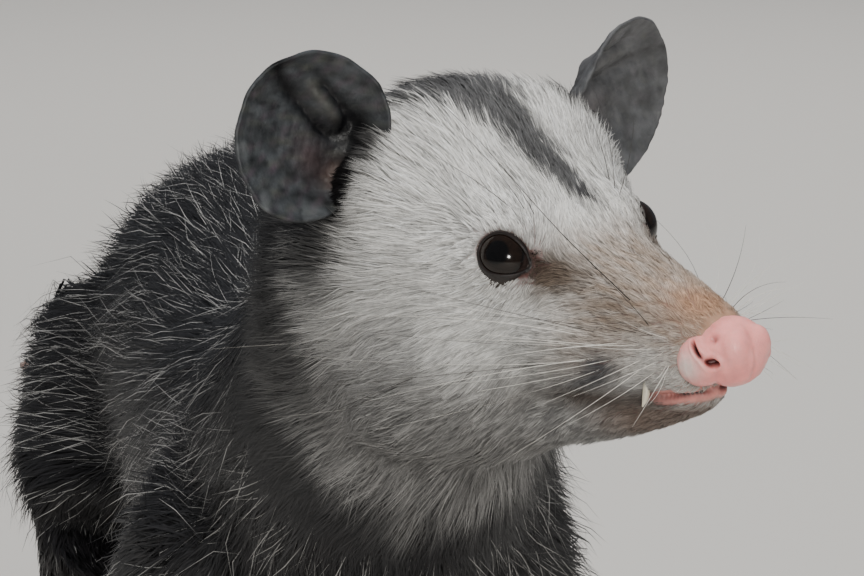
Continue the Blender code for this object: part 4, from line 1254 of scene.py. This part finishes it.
def eye(side, word, look):
    """One eyeball, with a slight bulge where it looks out."""
    centre, axes = eye_axes(side)
    rings, around = 40, 64
    tilts = np.linspace(0, math.pi, rings + 1)
    turns = np.linspace(0, 2 * math.pi, around, endpoint=False)
    tilt, turn = (part.ravel() for part in np.meshgrid(tilts[1:-1], turns, indexing="ij"))
    reach = EYE_RADIUS + EYE_BULGE * peak(tilt, 0.75)
    flat = np.stack([np.sin(tilt) * np.cos(turn), np.sin(tilt) * np.sin(turn), np.cos(tilt)], axis=1)
    flat = flat * reach[:, None]
    local = np.vstack([[0, 0, EYE_RADIUS + EYE_BULGE], flat, [0, 0, -EYE_RADIUS]])
    faces = round_faces(rings - 1, around)
    angle = np.arccos(np.clip(unit(local)[:, 2], -1, 1))
    iris = stepped(angle, 0.40, 0.5) * (1 - stepped(angle, 0.85, 0.95))
    white = stepped(angle, 0.95, 1.1)
    colours = mixed(np.tile((0.0022, 0.0018, 0.0018), (len(local), 1)), (0.010, 0.0055, 0.0035), iris)
    colours = mixed(colours, (0.03, 0.02, 0.018), white)
    made = mesh_from(f"eyeball_{word}", local @ axes + centre, faces, colours)
    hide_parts(f"eye_{word}")
    finish(made, look)


def band_faces(numbers):
    """Faces of four corners between rings of points, from the points' numbers: a row for each ring."""
    near, far = numbers[..., :-1, :], numbers[..., 1:, :]
    return np.stack([near, far, np.roll(far, -1, -1), np.roll(near, -1, -1)], axis=-1).reshape(-1, 4)


def round_faces(rings, around):
    """Faces over rings of points, closed by one point before them and one after them."""
    numbers = 1 + np.arange(rings * around).reshape(rings, around)
    quads = band_faces(numbers)
    first = np.stack([np.zeros(around, int), numbers[0], np.roll(numbers[0], -1)], axis=1)
    last = np.stack([np.full(around, rings * around + 1), np.roll(numbers[-1], -1), numbers[-1]], axis=1)
    return [quads, first, last]


def lids(side, word, look):
    """The two lids of one eye: a soft rim that lies on the eyeball and runs out under the coat."""
    centre, axes = eye_axes(side)
    around = 120
    turns = np.linspace(0, 2 * math.pi, around, endpoint=False)
    wide = np.where(np.cos(turns) > 0, EYE_INNER, EYE_OUTER)
    high = np.where(np.sin(turns) > 0, EYE_UPPER, EYE_LOWER)
    size = (np.abs(np.cos(turns)) / wide) ** ALMOND[0] + (np.abs(np.sin(turns)) / high) ** ALMOND[1]
    size = size ** (-1 / ALMOND[2])
    # The rim's section: how far out from the edge, how high over the eyeball, and how much it droops away
    section = (
        (0.15, -0.55), (0.0, 0.04), (0.03, 0.16), (0.14, 0.26), (0.35, 0.26), (0.65, 0.10),
        (1.1, -0.3), (1.8, -1.0), (2.8, -2.2),
    )
    rows = []
    for out, lift in section:
        reach = size + out
        height = np.sqrt(np.maximum((EYE_RADIUS + 0.1) ** 2 - np.minimum(reach, size + 0.9) ** 2, 2.0))
        creased = 0.05 * np.sin(turns * 9 + out * 2) * (0.2 < out < 1.6)
        rows.append(np.stack([np.cos(turns) * reach, np.sin(turns) * reach, height + lift + creased], axis=1))
    local = np.vstack(rows)
    numbers = np.arange(len(section) * around).reshape(len(section), around)
    faces = [band_faces(numbers)]
    edge = np.repeat([out for out, _ in section], around)
    colours = mixed(np.tile((0.013, 0.009, 0.008), (len(local), 1)), BROWN * 0.4, stepped(edge, 0.5, 1.8))
    made = mesh_from(f"lids_{word}", local @ axes + centre, faces, colours)
    thicken(made, 0.18)
    finish(made, look)


def thicken(made, thickness, offset=-1):
    """Gives an open mesh a thickness: inwards, or with an offset of 0 on both sides."""
    shell = made.modifiers.new("Thickness", "SOLIDIFY")
    shell.thickness = thickness * 0.001
    shell.offset = offset
    apply_modifiers(made)
    made.data.shade_smooth()


def nose_pieces():
    """The nose pad with its two side lobes."""
    pieces = [ball((-6.6, 0, -1.2), (7.0, 7.8, 7.2), HEAD)]
    for side in (1, -1):
        pieces.append(ball((-9.4, 6.0 * side, -2.4), (5.4, 4.6, 5.2), HEAD))
        pieces.append(ball((-2.8, 2.6 * side, 0.4), (3.2, 3.6, 4.0), HEAD))
    return pieces


def nose(look):
    """The bare nose pad: comma-shaped nostrils, a groove down its middle and creases behind its lobes, with
    painted shade in nostrils, pits, groove and creases, and pale lobes that are partly a painted highlight.
    """
    made = blocked_out("nose_pad", nose_pieces(), 0.22, 50)
    points, normals = points_of(made), normals_of(made)
    head = in_head(points)
    depth = np.zeros(len(points))
    # dark gathers the painted shade inside the nostrils and the pits beside them.
    dark = np.zeros(len(points))
    for side in (1, -1):
        rows = smooth_path([mirrored(row, side) for row in NOSTRIL], 8)
        squares = ((head[:, None, :] - rows[None, :, :3]) ** 2).sum(axis=2)
        ratio = (np.sqrt(squares) / rows[None, :, 3]).min(axis=1)
        hole = 1 - stepped(ratio, 0.55, 1.25)
        rim = peak(ratio - 1.65, 0.4)
        depth += 2.2 * hole - 0.30 * rim
        dark += hole
        pit = np.exp(-(((head - (-5.0, 6.2 * side, 2.6)) ** 2).sum(axis=1)) / 0.9)
        depth += 0.8 * pit
        dark += 0.5 * pit
    groove = peak(head[:, 1], 0.55) * stepped(head[:, 0], -5, 0)
    depth += 0.28 * groove
    crease = peak(head[:, 0] + 8.4 + 0.35 * np.abs(head[:, 1] - 6), 0.9)
    crease = crease * stepped(np.abs(head[:, 1]), 4, 7)
    crease = crease * stepped(head[:, 2], -1.5, 1.5)
    depth += 0.5 * crease
    fine = waves(points, 2.6, 31) * 0.05
    points = points - normals * (depth + fine)[:, None]
    set_points(made, points + SHIFT * 1000)
    colours = mixed(np.tile(PINK, (len(points), 1)), PINK * 1.12, 0.5 + 0.5 * waves(points, 5, 32))
    deeper = 0.6 * stepped(-head[:, 2], 0, 6) + 0.4 * stepped(-head[:, 0], 2, 8)
    colours = mixed(colours, PINK * (0.80, 0.66, 0.64), deeper)
    # Pale lobes: partly the skin's own paler tone, partly a painted highlight.
    lobe = both_sides(head, (-9.2, 10.2, -2.8), (3.2, 3.4, 3.2))
    colours = mixed(colours, (0.86, 0.74, 0.68), 0.9 * lobe)
    # Painted shade in the middle groove and in the creases behind the lobes.
    colours = mixed(colours, LIP * 0.8, 0.22 * groove + 0.6 * crease)
    # Painted shade inside the nostrils and pits.
    colours = mixed(colours, (0.10, 0.014, 0.014), 1.15 * dark)
    set_colours(made.data, colours)
    made.data.shade_smooth()
    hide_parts("nose")
    finish(made, look)


NOSTRIL = (
    (-4.0, 6.6, -2.0, 0.7),
    (-5.0, 7.4, -1.9, 1.05),
    (-6.0, 8.3, -1.3, 0.75),
    (-6.9, 9.0, -0.1, 0.55),
    (-8.1, 8.9, 1.2, 0.5),
    (-9.3, 8.3, 2.3, 0.4),
)


def ear_folds(along, across):
    """Shares of an ear's first valley, ridge, second valley and hollow at places on it, for its depth and for
    the painted shade in them.
    """
    first = np.interp(along, (-4, -2, 7, 14), (-4.0, -3.6, -2.2, -1.0))
    within = stepped(along, -6, -1)
    valley = peak(across - first, 1.8) * within
    middle = np.interp(along, (-4, 8), (-7.6, -6.0))
    ridge = peak(across - middle, 1.1) * within * (1 - stepped(along, 6, 11))
    second = peak(across - middle + 2.6, 1.3) * stepped(along, -9, -3)
    second = second * (1 - stepped(along, 7, 12))
    hollow = peak_at(along + 4.8, 4.0, across + 8.5, 4.6)
    return valley, ridge, second, hollow


def ear_depth(reach, along, across):
    """How far an ear's surface lies behind its rim's plane: a cup with folds, a hollow and a funnel."""
    valley, ridge, second, hollow = ear_folds(along, across)
    cup = 5.0 * (1 - reach**2)
    funnel = 6.0 * np.exp(-((along + 13) ** 2 + (across + 1) ** 2) / 60)
    folds = 1.3 * valley - 0.4 * ridge + 1.2 * second + 2.4 * hollow
    return cup + funnel + folds * (1 - reach**4) - 0.8 * reach**14


def ear_colours(flat, reach, side):
    """Colours of an ear: mottled slate, with a paler ridge, a painted highlight along the rim, painted black
    shade in folds and hollow, a browner foot, and the left ear painted lighter all over.
    """
    along, across = flat[:, 0], flat[:, 1]
    slate = np.array((0.032, 0.035, 0.038))
    colours = mixed(np.tile(slate, (len(flat), 1)), slate * 2.2, 0.28 + 0.30 * waves(flat, 5, 45 + side))
    colours = mixed(colours, (0.075, 0.078, 0.062), 0.35 * np.maximum(waves(flat, 2.6, 51 + side), 0))
    colours = mixed(colours, (0.058, 0.045, 0.056), 0.45 * np.maximum(waves(flat, 3.3, 53 + side), 0))
    colours = mixed(colours, slate * 0.45, 0.45 * np.maximum(waves(flat, 2.1, 55 + side), 0))
    valley, ridge, second, hollow = ear_folds(along, across)
    colours = mixed(colours, (0.088, 0.085, 0.068), 0.42 * ridge)
    colours = mixed(colours, (0.072, 0.052, 0.054), 0.80 * peak_at(along + 5.5, 5, across - 1.5, 3.8))
    colours = mixed(colours, (0.13, 0.085, 0.07), 0.7 * peak_at(along + 11.5, 3, across + 2, 3.5))
    # Painted shade: near black in the valleys and the hollow.
    colours = mixed(colours, (0.004, 0.004, 0.005), 0.95 * valley + 0.90 * second + 1.3 * hollow)
    # Painted highlight: pale bluish grey along part of the rim.
    pale = stepped(reach, 0.72, 0.92) * stepped(across, 2, 12) * stepped(waves(flat, 9, 57), 0.0, 0.5)
    colours = mixed(colours, (0.13, 0.14, 0.145), 0.45 * pale)
    # Painted light: the left ear is painted lighter all over, as lit more than the right.
    if side > 0:
        colours = mixed(colours, (0.15, 0.15, 0.155), np.full(len(flat), 0.50))
    return colours


def ear(side, word, look):
    """One ear: a thin, creased leathery cup that opens forward and narrows to its foot in the head."""
    foot = from_head(mirrored(EAR_AT, side))
    middle = foot + HEAD_TURN @ np.array(EAR_MIDDLE[side])
    face = unit(HEAD_TURN @ np.array(EAR_FACE[side]))
    rise = middle - foot
    rise = unit(rise - face * (rise @ face))
    across_way = np.cross(face, rise) * -side
    rings, around = 60, 150
    turns = np.linspace(0, 2 * math.pi, around, endpoint=False)
    reach, turn = np.meshgrid(np.linspace(0, 1, rings + 1)[1:], turns, indexing="ij")
    reach, turn = reach.ravel(), turn.ravel()
    lobe = 1 + 0.10 * np.maximum(0, np.cos(turn - 2.2)) ** 3
    lobe = lobe + 0.008 * np.sin(turn * 7) + 0.006 * np.sin(turn * 13 + 2)
    along = np.concatenate([[0], EAR_RADIUS * lobe * reach * np.cos(turn)])
    along *= np.where(along < 0, 0.94, 1.0)
    across = np.concatenate([[0], EAR_RADIUS * lobe * reach * np.sin(turn)])
    reach = np.concatenate([[0], reach])
    flat = np.stack([along, across, 0 * along], axis=1)
    depth = ear_depth(reach, along, across)
    depth += 0.30 * waves(flat, 7.5, 41 + side) * (1 - reach**6) + 0.10 * waves(flat, 2.4, 43 + side)
    ribs = np.sin(np.arctan2(across + 1, along + 15) * 15) * stepped(reach, 0.25, 0.7)
    ribs = ribs * (1 - stepped(reach, 0.86, 1.0))
    depth += 0.12 * ribs
    points = middle + rise * along[:, None] + across_way * across[:, None] - face * depth[:, None]
    numbers = 1 + np.arange(rings * around).reshape(rings, around)
    quads = band_faces(numbers)
    hub = np.stack([np.zeros(around, int), numbers[0], np.roll(numbers[0], -1)], axis=1)
    colours = ear_colours(flat, reach, side)
    made = mesh_from(f"ear_cup_{word}", points, [quads, hub], colours)
    thicken(made, EAR_SHELL, 0)
    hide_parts(f"ear_{word}")
    finish(made, look)


def tubes(name, lines, radii, colours, sides):
    """One mesh of thin round threads: rows of points, radii and colours along each of them."""
    count, rows, _ = lines.shape
    ways = unit(np.gradient(lines, axis=1))
    helper = np.where(np.abs(ways[..., 2:3]) > 0.8, np.array((1.0, 0, 0)), np.array((0, 0, 1.0)))
    side = unit(np.cross(ways, helper))
    up = np.cross(ways, side)
    turns = np.linspace(0, 2 * math.pi, sides, endpoint=False)[None, None, :, None]
    around = side[:, :, None] * np.cos(turns) + up[:, :, None] * np.sin(turns)
    points = lines[:, :, None] + around * radii[:, :, None, None]
    numbers = np.arange(count * rows * sides).reshape(count, rows, sides)
    quads = band_faces(numbers)
    shades = np.repeat(colours[:, :, None], sides, axis=2).reshape(-1, 3)
    return mesh_from(name, points.reshape(-1, 3), [quads], shades)


# Whiskers that the solids have too, on the left: root, way, length and bend in the head's frame
WHISKERS = (
    ((-16, 11.0, 2.5), (0.30, 0.90, 0.35), 16, (-2, -1, 1)),
    ((-20, 12.0, 4.5), (0.10, 0.65, 0.75), 18, (-5, 0, 1)),
    ((-15, 10.5, -3.5), (0.35, 0.85, -0.45), 17, (-3, -1, -2)),
    ((-26, 13.5, 0.0), (-0.35, 0.95, 0.10), 32, (-9, -4, -5)),
    ((-30, 15.0, -3.0), (-0.90, 0.85, -0.10), 46, (-12, -6, -7)),
    ((-33, 15.0, 1.0), (-1.00, 0.65, 0.25), 54, (-12, -4, -10)),
)
# The dark stiff hairs of brow and cheek, on the left: root, way and length
BROW_AND_CHEEK = (
    ((-52, 12, 26), (-0.35, 0.35, 1.0), 26),
    ((-50, 11, 25), (0.05, 0.5, 1.0), 20),
    ((-55, 14, 27), (-0.7, 0.5, 0.8), 30),
    ((-66, 30, -8), (-0.6, 0.9, -0.3), 24),
    ((-70, 31, -10), (-0.8, 0.7, -0.4), 20),
)
# One long dark whisker that curves back over the brow, as places just off the coat in the head's frame
BROW_WHISKER = (
    (-25.4, -10.0, 8.7),
    (-37.5, -12.5, 17.8),
    (-48.0, -14.0, 26.0),
    (-64.5, -15.0, 38.5),
    (-76, -16.5, 46.5),
)
# Points along each whisker
WHISKER_STEPS = 12
PALE_HAIR, DARK_HAIR = np.array((0.75, 0.72, 0.66)), np.array((0.03, 0.025, 0.022))


def whiskers(skin, look, draw):
    """The long stiff hairs of muzzle, brow and cheek."""
    lines, radii, colours = [], [], []
    steps = np.linspace(0, 1, WHISKER_STEPS)[:, None]

    def add(root, way, length, bend, dark, thick):
        place, _ = followed(skin, from_head(np.array([root])))
        way = unit(HEAD_TURN @ np.array(way, float))
        bend = HEAD_TURN @ np.array(bend, float)
        lines.append(place + way * length * steps + bend * length * steps**2)
        radii.append(thick * (1 - 0.85 * steps[:, 0]))
        colours.append(np.tile(DARK_HAIR if dark else PALE_HAIR, (WHISKER_STEPS, 1)))

    for side in (1, -1):
        for number, (root, way, length, bend) in enumerate(WHISKERS):
            bend = np.array(mirrored(bend, side)) / length
            add(mirrored(root, side), mirrored(way, side), length, bend, number == 1, 0.095)
        for row, height in enumerate((2.5, -0.5, -3.5, -6.5)):
            for column in range(6):
                x = -15.5 - 3.4 * column - 0.8 * (row % 2)
                out = 11.5 + 0.28 * (-15.5 - x)
                forward = 0.62 - 0.36 * column
                way = (forward + draw.uniform(-0.12, 0.12), side * draw.uniform(0.75, 1.0),
                       0.34 - 0.22 * row + draw.uniform(-0.1, 0.1))
                length = (14 + 8.5 * column) * draw.uniform(0.75, 1.15)
                bend = (-0.30 - 0.05 * column, -0.12 * side, draw.uniform(-0.22, 0.05))
                add((x, out * side, height), way, length, bend, draw.random() < 0.3, 0.07)
        for root, way, length in BROW_AND_CHEEK:
            length = length * draw.uniform(0.85, 1.1)
            add(mirrored(root, side), mirrored(way, side), length, (-0.25, 0, -0.15), True, 0.085)
    for number in range(9):
        row, column, place = number // 3, number % 3, number % 4
        root = (-12.5 - 1.6 * place, 9.5 + 0.6 * place, 5.5 - 2.6 * row)
        rise = 1.0 - 0.75 * row + draw.uniform(-0.2, 0.2)
        way = (0.42 - 0.13 * column, 0.70, 0.75 * rise)
        length = draw.uniform(13, 21)
        add(root, way, length, (0.10, 0.10, draw.uniform(-0.45, 0.1)), column == 1, 0.085)
    brow = from_head(smooth_path(BROW_WHISKER, 11))
    lines.append(brow[np.linspace(0, len(brow) - 1, WHISKER_STEPS).round().astype(int)])
    radii.append(np.interp(steps[:, 0], (0, 1), (0.12, 0.03)))
    colours.append(np.tile((0.02, 0.017, 0.015), (WHISKER_STEPS, 1)))
    made = tubes("whiskers", np.array(lines), np.array(radii), np.array(colours), 5)
    finish(made, look)


# The left upper canine in the head's frame: x, y, z, radius
CANINE = ((-24.0, 7.9, -8.5, 0.80), (-23.6, 9.0, -11.4, 0.70), (-24.0, 9.6, -13.3, 0.16))


def teeth(look):
    """The tips of the two upper canines, standing out below the lip."""
    rows = smooth_path(CANINE, 6)
    lines = np.stack([from_head(rows[:, :3] * (1, side, 1)) for side in (1, -1)])
    radii = np.stack([rows[:, 3]] * 2)
    colours = np.broadcast_to(np.array((0.72, 0.66, 0.52)), (*radii.shape, 3))
    made = tubes("canines", lines, radii, colours, 16)
    finish(made, look)


def claws(look):
    """The curved claws of all toes but the hind thumbs."""
    lines, radii = [], []
    for side in (1, -1):
        for rows in toes(side, True) + toes(side, False):
            start, before = np.array(rows[-1][:3]), np.array(rows[-2][:3])
            flat = unit((start - before) * (1, 1, 0))
            rows = [(*(start + flat * ahead + (0, 0, up)), radius) for ahead, up, radius in CLAW]
            path = smooth_path(rows, 5)
            lines.append(path[:, :3])
            radii.append(path[:, 3])
    lines, radii = np.array(lines), np.array(radii)
    shade = np.linspace(0, 1, lines.shape[1])[None, :, None]
    colours = np.array((0.20, 0.14, 0.11)) * (1 - shade) + np.array((0.52, 0.45, 0.36)) * shade
    colours = np.broadcast_to(colours, (*radii.shape, 3))
    made = tubes("claws", lines, radii, colours, 10)
    finish(made, look)


def on_head(points):
    """Strands to a square millimetre of the head, more of them towards the nose, and none behind it."""
    share = stepped(ahead_of(points, NECK_PLANE), -9, 0)
    return share * np.interp(in_head(points)[:, 0], (-110, -85, -60, -10), (5.0, 8.0, 10.0, 11.5))


def on_trunk(points):
    """1 on neck, trunk and the tail's root, and 0 elsewhere."""
    return stepped(-ahead_of(points, NECK_PLANE), 0, 7) * (1 - leg_share(points))


def on_legs(points):
    """1 on the legs and 0 elsewhere."""
    return leg_share(points) * (ahead_of(points, NECK_PLANE) < 0)


def constant(value):
    """A function that gives the same value for every point."""
    return lambda points: np.full(len(points), float(value))


def head_rise(points, lengths):
    """How high the coat stands on the head: low on the muzzle, loose on crown and cheeks."""
    x, y, z = in_head(points).T
    share = np.interp(x, (-95, -75, -55, -30, -12), (0.50, 0.46, 0.36, 0.26, 0.20))
    return lengths * share + 0.15


def face_width(points):
    """Width of the head's strands: finer towards the nose."""
    return np.interp(in_head(points)[:, 0], (-90, -60, -25, -10), (0.27, 0.23, 0.18, 0.15))


STYLES = {
    "face": {
        "density": 1.0, "length": coat_length, "rise": head_rise, "stations": (0, 0.45, 1), "droop": 1.5,
        "width": face_width, "swirl": 0.24, "swirl_length": 16, "stray": 0.18, "tufts": 0.03, "pull": 0.58,
        "variety": 0.17, "face": True, "pale": constant(0.0),
    },
    "under": {
        "density": 2.0, "length": coat_length, "rise": lambda points, lengths: lengths * 0.42,
        "stations": (0, 0.45, 1), "droop": 1.5, "width": constant(0.62), "swirl": 0.30, "swirl_length": 34,
        "stray": 0.22, "tufts": 0.06, "pull": 0.5, "variety": 0.16, "face": False, "pale": constant(0.0),
    },
    "guard": {
        "density": 0.60, "length": lambda points: coat_length(points) * 1.65,
        "rise": lambda points, lengths: lengths * 0.36, "stations": (0, 0.33, 0.66, 1), "droop": 1.25,
        "width": constant(0.22), "swirl": 0.34, "swirl_length": 34, "stray": 0.24, "tufts": 0.12,
        "pull": 0.45, "variety": 0.2, "face": False, "pale": constant(0.22),
    },
    "leg": {
        "density": 1.7, "length": coat_length, "rise": lambda points, lengths: lengths * 0.30,
        "stations": (0, 0.45, 1), "droop": 1.5, "width": constant(0.55), "swirl": 0.2, "swirl_length": 24,
        "stray": 0.18, "tufts": 0.08, "pull": 0.4, "variety": 0.16, "face": False, "pale": constant(0.04),
    },
}


def camera_axes():
    """The picture's right, its up and the way back to the camera."""
    level = math.cos(ELEVATION)
    back = np.array((math.sin(AZIMUTH) * level, -math.cos(AZIMUTH) * level, math.sin(ELEVATION)))
    right = np.array((math.cos(AZIMUTH), math.sin(AZIMUTH), 0))
    up = np.cross(back, right)
    return right, up, back


def aimed(made, place, target):
    """Sets an object at a place, turned so that it looks at a target."""
    made.location = Vector(place)
    made.rotation_mode = "QUATERNION"
    made.rotation_quaternion = (Vector(target) - Vector(place)).to_track_quat("-Z", "Y")
    bpy.context.scene.collection.objects.link(made)


def stage():
    """Camera, lights, sky and floor."""
    right, up, back = camera_axes()
    target = eye_place(-1)[0] * 0.001 + SHIFT + right * TARGET_RIGHT + up * TARGET_UP
    lens = bpy.data.cameras.new("camera")
    lens.sensor_width = 36
    lens.lens = 36 * CAMERA_DISTANCE / PICTURE_WIDTH
    lens.clip_start = 0.05
    camera = bpy.data.objects.new("camera", lens)
    aimed(camera, target + back * CAMERA_DISTANCE, target)
    bpy.context.scene.camera = camera
    # Each light's place to the right, up and back from the target, its width, power and tint
    lights = (
        ("sun", (0.22, 0.10, 1.35), 0.16, 10.6, (1.0, 0.98, 0.93)),
        ("sky", (-0.10, 1.30, 0.30), 1.2, 26, (1.0, 0.99, 0.97)),
        ("rim", (0.1, 0.8, -1.1), 0.8, 5, (1.0, 0.98, 0.95)),
    )
    for name, place, wide, power, tint in lights:
        lamp = bpy.data.lights.new(name, "AREA")
        lamp.size = wide
        lamp.energy = power
        lamp.color = tint
        made = bpy.data.objects.new(name, lamp)
        made.visible_glossy = name == "sun"
        aimed(made, target + right * place[0] + up * place[1] + back * place[2], target)
    world = bpy.data.worlds.new("sky")
    world.use_nodes = True
    world.node_tree.nodes["Background"].inputs["Color"].default_value = (0.80, 0.86, 0.95, 1)
    world.node_tree.nodes["Background"].inputs["Strength"].default_value = 0.19
    bpy.context.scene.world = world
    wide = 8.0
    mesh = bpy.data.meshes.new("floor")
    corners = [(-wide, -wide, 0), (wide, -wide, 0), (wide, wide, 0), (-wide, wide, 0)]
    mesh.from_pydata(corners, [], [(0, 1, 2, 3)])
    floor = object_of("floor", mesh, bpy.context.scene.collection)
    mesh.materials.append(floor_look())


FLESH = ["head", "lower_jaw", "neck", "torso_front", "torso_rear", "tail_1", "tail_2", "tail_3", "tail_4"]
for limb in ("foreleg", "hindleg", "forefoot", "hindfoot"):
    FLESH += [f"{limb}_left", f"{limb}_right"]


def main():
    draw = np.random.default_rng(SEED)
    stage()
    skin_piece = shaped_skin()
    skin = surface_from(skin_piece)
    set_colours(skin_piece.data, skin_colours(skin.points))
    skin_piece.data.shade_smooth()
    set_points(skin_piece, skin.points + SHIFT * 1000)
    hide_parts(*FLESH)
    finish(skin_piece, skin_look())
    nose(nose_look())
    ears, eyes, horn = ear_look(), eye_look(), horn_look("horn", 0.35)
    for side, word in ((1, "left"), (-1, "right")):
        eye(side, word, eyes)
        lids(side, word, skin_look())
        ear(side, word, ears)
    teeth(horn)
    claws(horn)
    whiskers(skin, horn_look("whisker", 0.4), draw)
    face, body = fur_look("face_fur", 0.55, 0.3), fur_look("body_fur", 0.5, 0.35)
    counts = [
        coat("coat_head", face, skin, on_head, head_unwrap, STYLES["face"], draw),
        coat("coat_under", body, skin, on_trunk, trunk_unwrap, STYLES["under"], draw),
        coat("coat_guard", body, skin, on_trunk, trunk_unwrap, STYLES["guard"], draw),
        coat("coat_legs", body, skin, on_legs, leg_unwrap, STYLES["leg"], draw),
    ]
    print("strands", counts, "skin triangles", len(skin.triangles))


main()
